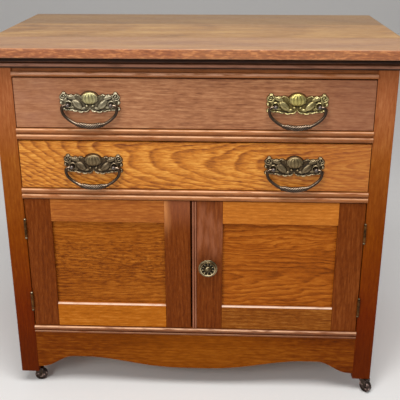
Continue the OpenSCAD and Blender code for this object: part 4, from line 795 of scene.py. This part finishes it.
def knob_mesh(sides=120, dimples=10):
    """Points, faces and darkness of the knob, turned about its spindle. The darkness holds
    patina in the dimples, a painted highlight on the lower side of the rim and on the upper
    left of the dome, and painted shade on the upper side of the rim.
    """
    profile = rounded(knob_profile)
    angle = np.arange(sides) * 2 * math.pi / sides
    r = np.repeat(profile[:, :1], sides, axis=1)
    reach = np.repeat(profile[:, 1:], sides, axis=1)
    facing = (reach > 16.5) & (r > 7.5)
    cup = np.exp(-((r - 10.9) / 2.3) ** 4) * (0.5 + 0.5 * np.cos(dimples * angle)) ** 0.55 * facing
    reach = reach - 2.4 * cup
    darkened = np.exp(-((r - 8.2) / 1.0) ** 2) * facing
    # Painted reflection: the rim is bright on its lower side and shaded on its upper side.
    upper = (0.26 * np.sin(angle) + 0.08)[None] * (r > 13) * (r < 16.4)
    # Painted highlight on the upper left of the dome.
    dome_painted_highlight = (0.22 - 0.16 * np.cos(angle - 2.0))[None] * (r < 7.4)
    hollow = np.clip(
        0.22 + cup * 0.9 + darkened * 0.5 + (r > 16.4) * 0.26 + upper + dome_painted_highlight + (r < 7.4) * 0.2, 0, 1)
    points = np.stack(
        [knob_at.x / mm + r * np.cos(angle), face_oak_y / mm - reach,
         knob_at.z / mm + r * np.sin(angle)], -1)
    n = len(profile)
    faces = [(i * sides + k, (i + 1) * sides + k, (i + 1) * sides + (k + 1) % sides,
              i * sides + (k + 1) % sides) for i in range(n - 1) for k in range(sides)]
    faces += [tuple(range(sides)), tuple((n - 1) * sides + k for k in range(sides))[::-1]]
    return points.reshape(-1, 3), faces, hollow.ravel()


knob_points, knob_faces, knob_hollow_and_shade = knob_mesh()
knob_brass = brass("knob_brass", (222, 202, 160), (90, 76, 50), (34, 26, 14), 0.32)
made = piece(
    "turn_knob", knob_points, knob_faces, knob_brass, "latch", knob_hollow_and_shade)
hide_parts("door_knob")
paint(knob_brass, "knob_rose")

# Hinges: small pressed brass butts, let into the doors and posts, with loose pins that
# end in balls, bright on top and painted in shade where they face down. The leaves have gone brown
# and dirty.


def hinge_brass(name, bright, dark, mark, painted_shade_under=0.0):
    """Brass gone dark in spots, and darker by the share under where it faces down, which is a
    painted shade.
    """
    f = Finish(name)
    spots = f.noise((300, 300, 300), mark, 3)
    tarnish_and_shade = f.smooth(f.noise((60, 60, 60), mark + 1, 2), 0.35, 0.7)
    # Painted shade where the surface faces down.
    tarnish_and_shade = tarnish_and_shade + f.smooth(f.facing()[2], 0.35, -0.15) * painted_shade_under
    f.looks(
        Base_Color=f.mix(tarnish_and_shade, srgb(*bright), srgb(*dark)), Metallic=0.9,
        Roughness=0.36 + tarnish_and_shade * 0.25 + (spots - 0.5) * 0.2,
        Normal=f.bump(spots, 0.0002, 0.3))
    return f


paint(hinge_brass("hinge_brass", (112, 74, 36), (56, 36, 16), 41),
      "case_hinge_leaves", "left_door_hinge_leaves", "right_door_hinge_leaves")
paint(hinge_brass("pin_brass", (214, 200, 164), (78, 58, 34), 43, 0.9), "hinge_pins")
paint(hinge_brass("fitting_brass", (132, 112, 66), (72, 58, 34), 45),
      "caster_sockets", "bolt_strike")

# Iron: the latch tongue, the bolt inside the left door and the four casters. The casters
# have rusted where they were wet, and they carry bright pinkish spots, partly worn metal and partly
# painted glints.


def iron(name, mark, worn, rubbed=0.6):
    """Dark iron with spots of rust, and bright pinkish spots that are partly rubbed metal and
    partly painted glints.
    """
    f = Finish(name)
    grit = f.noise((500, 500, 500), mark, 3)
    rust = f.smooth(f.noise((120, 120, 120), mark + 1, 3), 0.42, 0.66)
    bright = f.smooth(f.noise((150, 150, 150), mark + 2, 3), 0.54, 0.64)
    colour = f.mix(rust * 0.8, srgb(*worn), srgb(52, 30, 22))
    # Bright pinkish spots: partly rubbed metal, partly painted glints.
    colour = f.mix(bright * rubbed, colour, srgb(196, 166, 156))
    f.looks(
        Base_Color=colour, Metallic=1.0 - rust * 0.75,
        Roughness=0.42 + rust * 0.3 + (grit - 0.5) * 0.2,
        Normal=f.bump(grit, 0.0003, 0.4))
    return f


casters = ("front_left", "front_right", "rear_left", "rear_right")
paint(iron("latch_iron", 51, (72, 64, 60), 0.3), "latch_tongue", "bolt_barrel", "bolt_rod")
paint(iron("fork_iron", 53, (66, 54, 44), 0.5), *(c + "_fork" for c in casters))
paint(iron("wheel_iron", 55, (66, 56, 50), 0.75), *(c + "_wheel" for c in casters))
paint(iron("screw_steel", 57, (140, 138, 134)), "top_screws")

# Floor and light: a plain pale room with soft light from above and in front.
room_half_w, wall_y, wall_h = 7, 5, 6


def plain(name, colour):
    """A matt surface in one pale colour."""
    f = Finish(name)
    f.looks(Base_Color=srgb(*colour), Roughness=0.9)
    return f


floor_mesh = bpy.data.meshes.new("floor")
floor_mesh.from_pydata(
    [(-room_half_w, -room_half_w, 0), (room_half_w, -room_half_w, 0),
     (room_half_w, wall_y, 0), (-room_half_w, wall_y, 0),
     (room_half_w, wall_y, wall_h), (-room_half_w, wall_y, wall_h)], [],
    [(0, 1, 2, 3), (3, 2, 4, 5)])
floor_mesh.materials.append(plain("pale_room", (240, 238, 235)).material)
floor = bpy.data.objects.new("floor", floor_mesh)
bpy.context.scene.collection.objects.link(floor)

world = bpy.data.worlds.new("room")
world.use_nodes = True
world.node_tree.nodes["Background"].inputs["Color"].default_value = (0.98, 0.98, 1.0, 1)
world.node_tree.nodes["Background"].inputs["Strength"].default_value = 0.32
bpy.context.scene.world = world


def lamp(name, place, target, size, power):
    """A soft rectangular light at a place, turned towards its target."""
    light = bpy.data.lights.new(name, "AREA")
    light.shape = "RECTANGLE"
    light.size, light.size_y = size
    light.energy = power
    made = bpy.data.objects.new(name, light)
    made.location = place
    aim = np.array(target, float) - np.array(place, float)
    made.rotation_euler = (
        math.atan2(math.hypot(aim[0], aim[1]), -aim[2]), 0, math.atan2(aim[0], -aim[1]) + math.pi)
    bpy.context.scene.collection.objects.link(made)


lamp("ceiling", (0.2, -1.0, 2.5), (0, 0, 0.5), (1.8, 0.9), 42)
lamp("window", (-1.5, -2.6, 1.8), (0, 0, 0.45), (1.1, 1.3), 30)

# Camera: where the photo was taken from, as fitted to the edges of the case.
camera_data = bpy.data.cameras.new("camera")
camera_data.sensor_width = 36
camera_data.lens = 61.58
camera_data.shift_y = -0.0875
camera = bpy.data.objects.new("camera", camera_data)
camera.location = (0.0656, -1.5073, 0.9962)
camera.rotation_euler = (math.radians(70.316), math.radians(0.058), math.radians(2.3))
bpy.context.scene.collection.objects.link(camera)
bpy.context.scene.camera = camera
bpy.context.scene.view_settings.view_transform = "Standard"
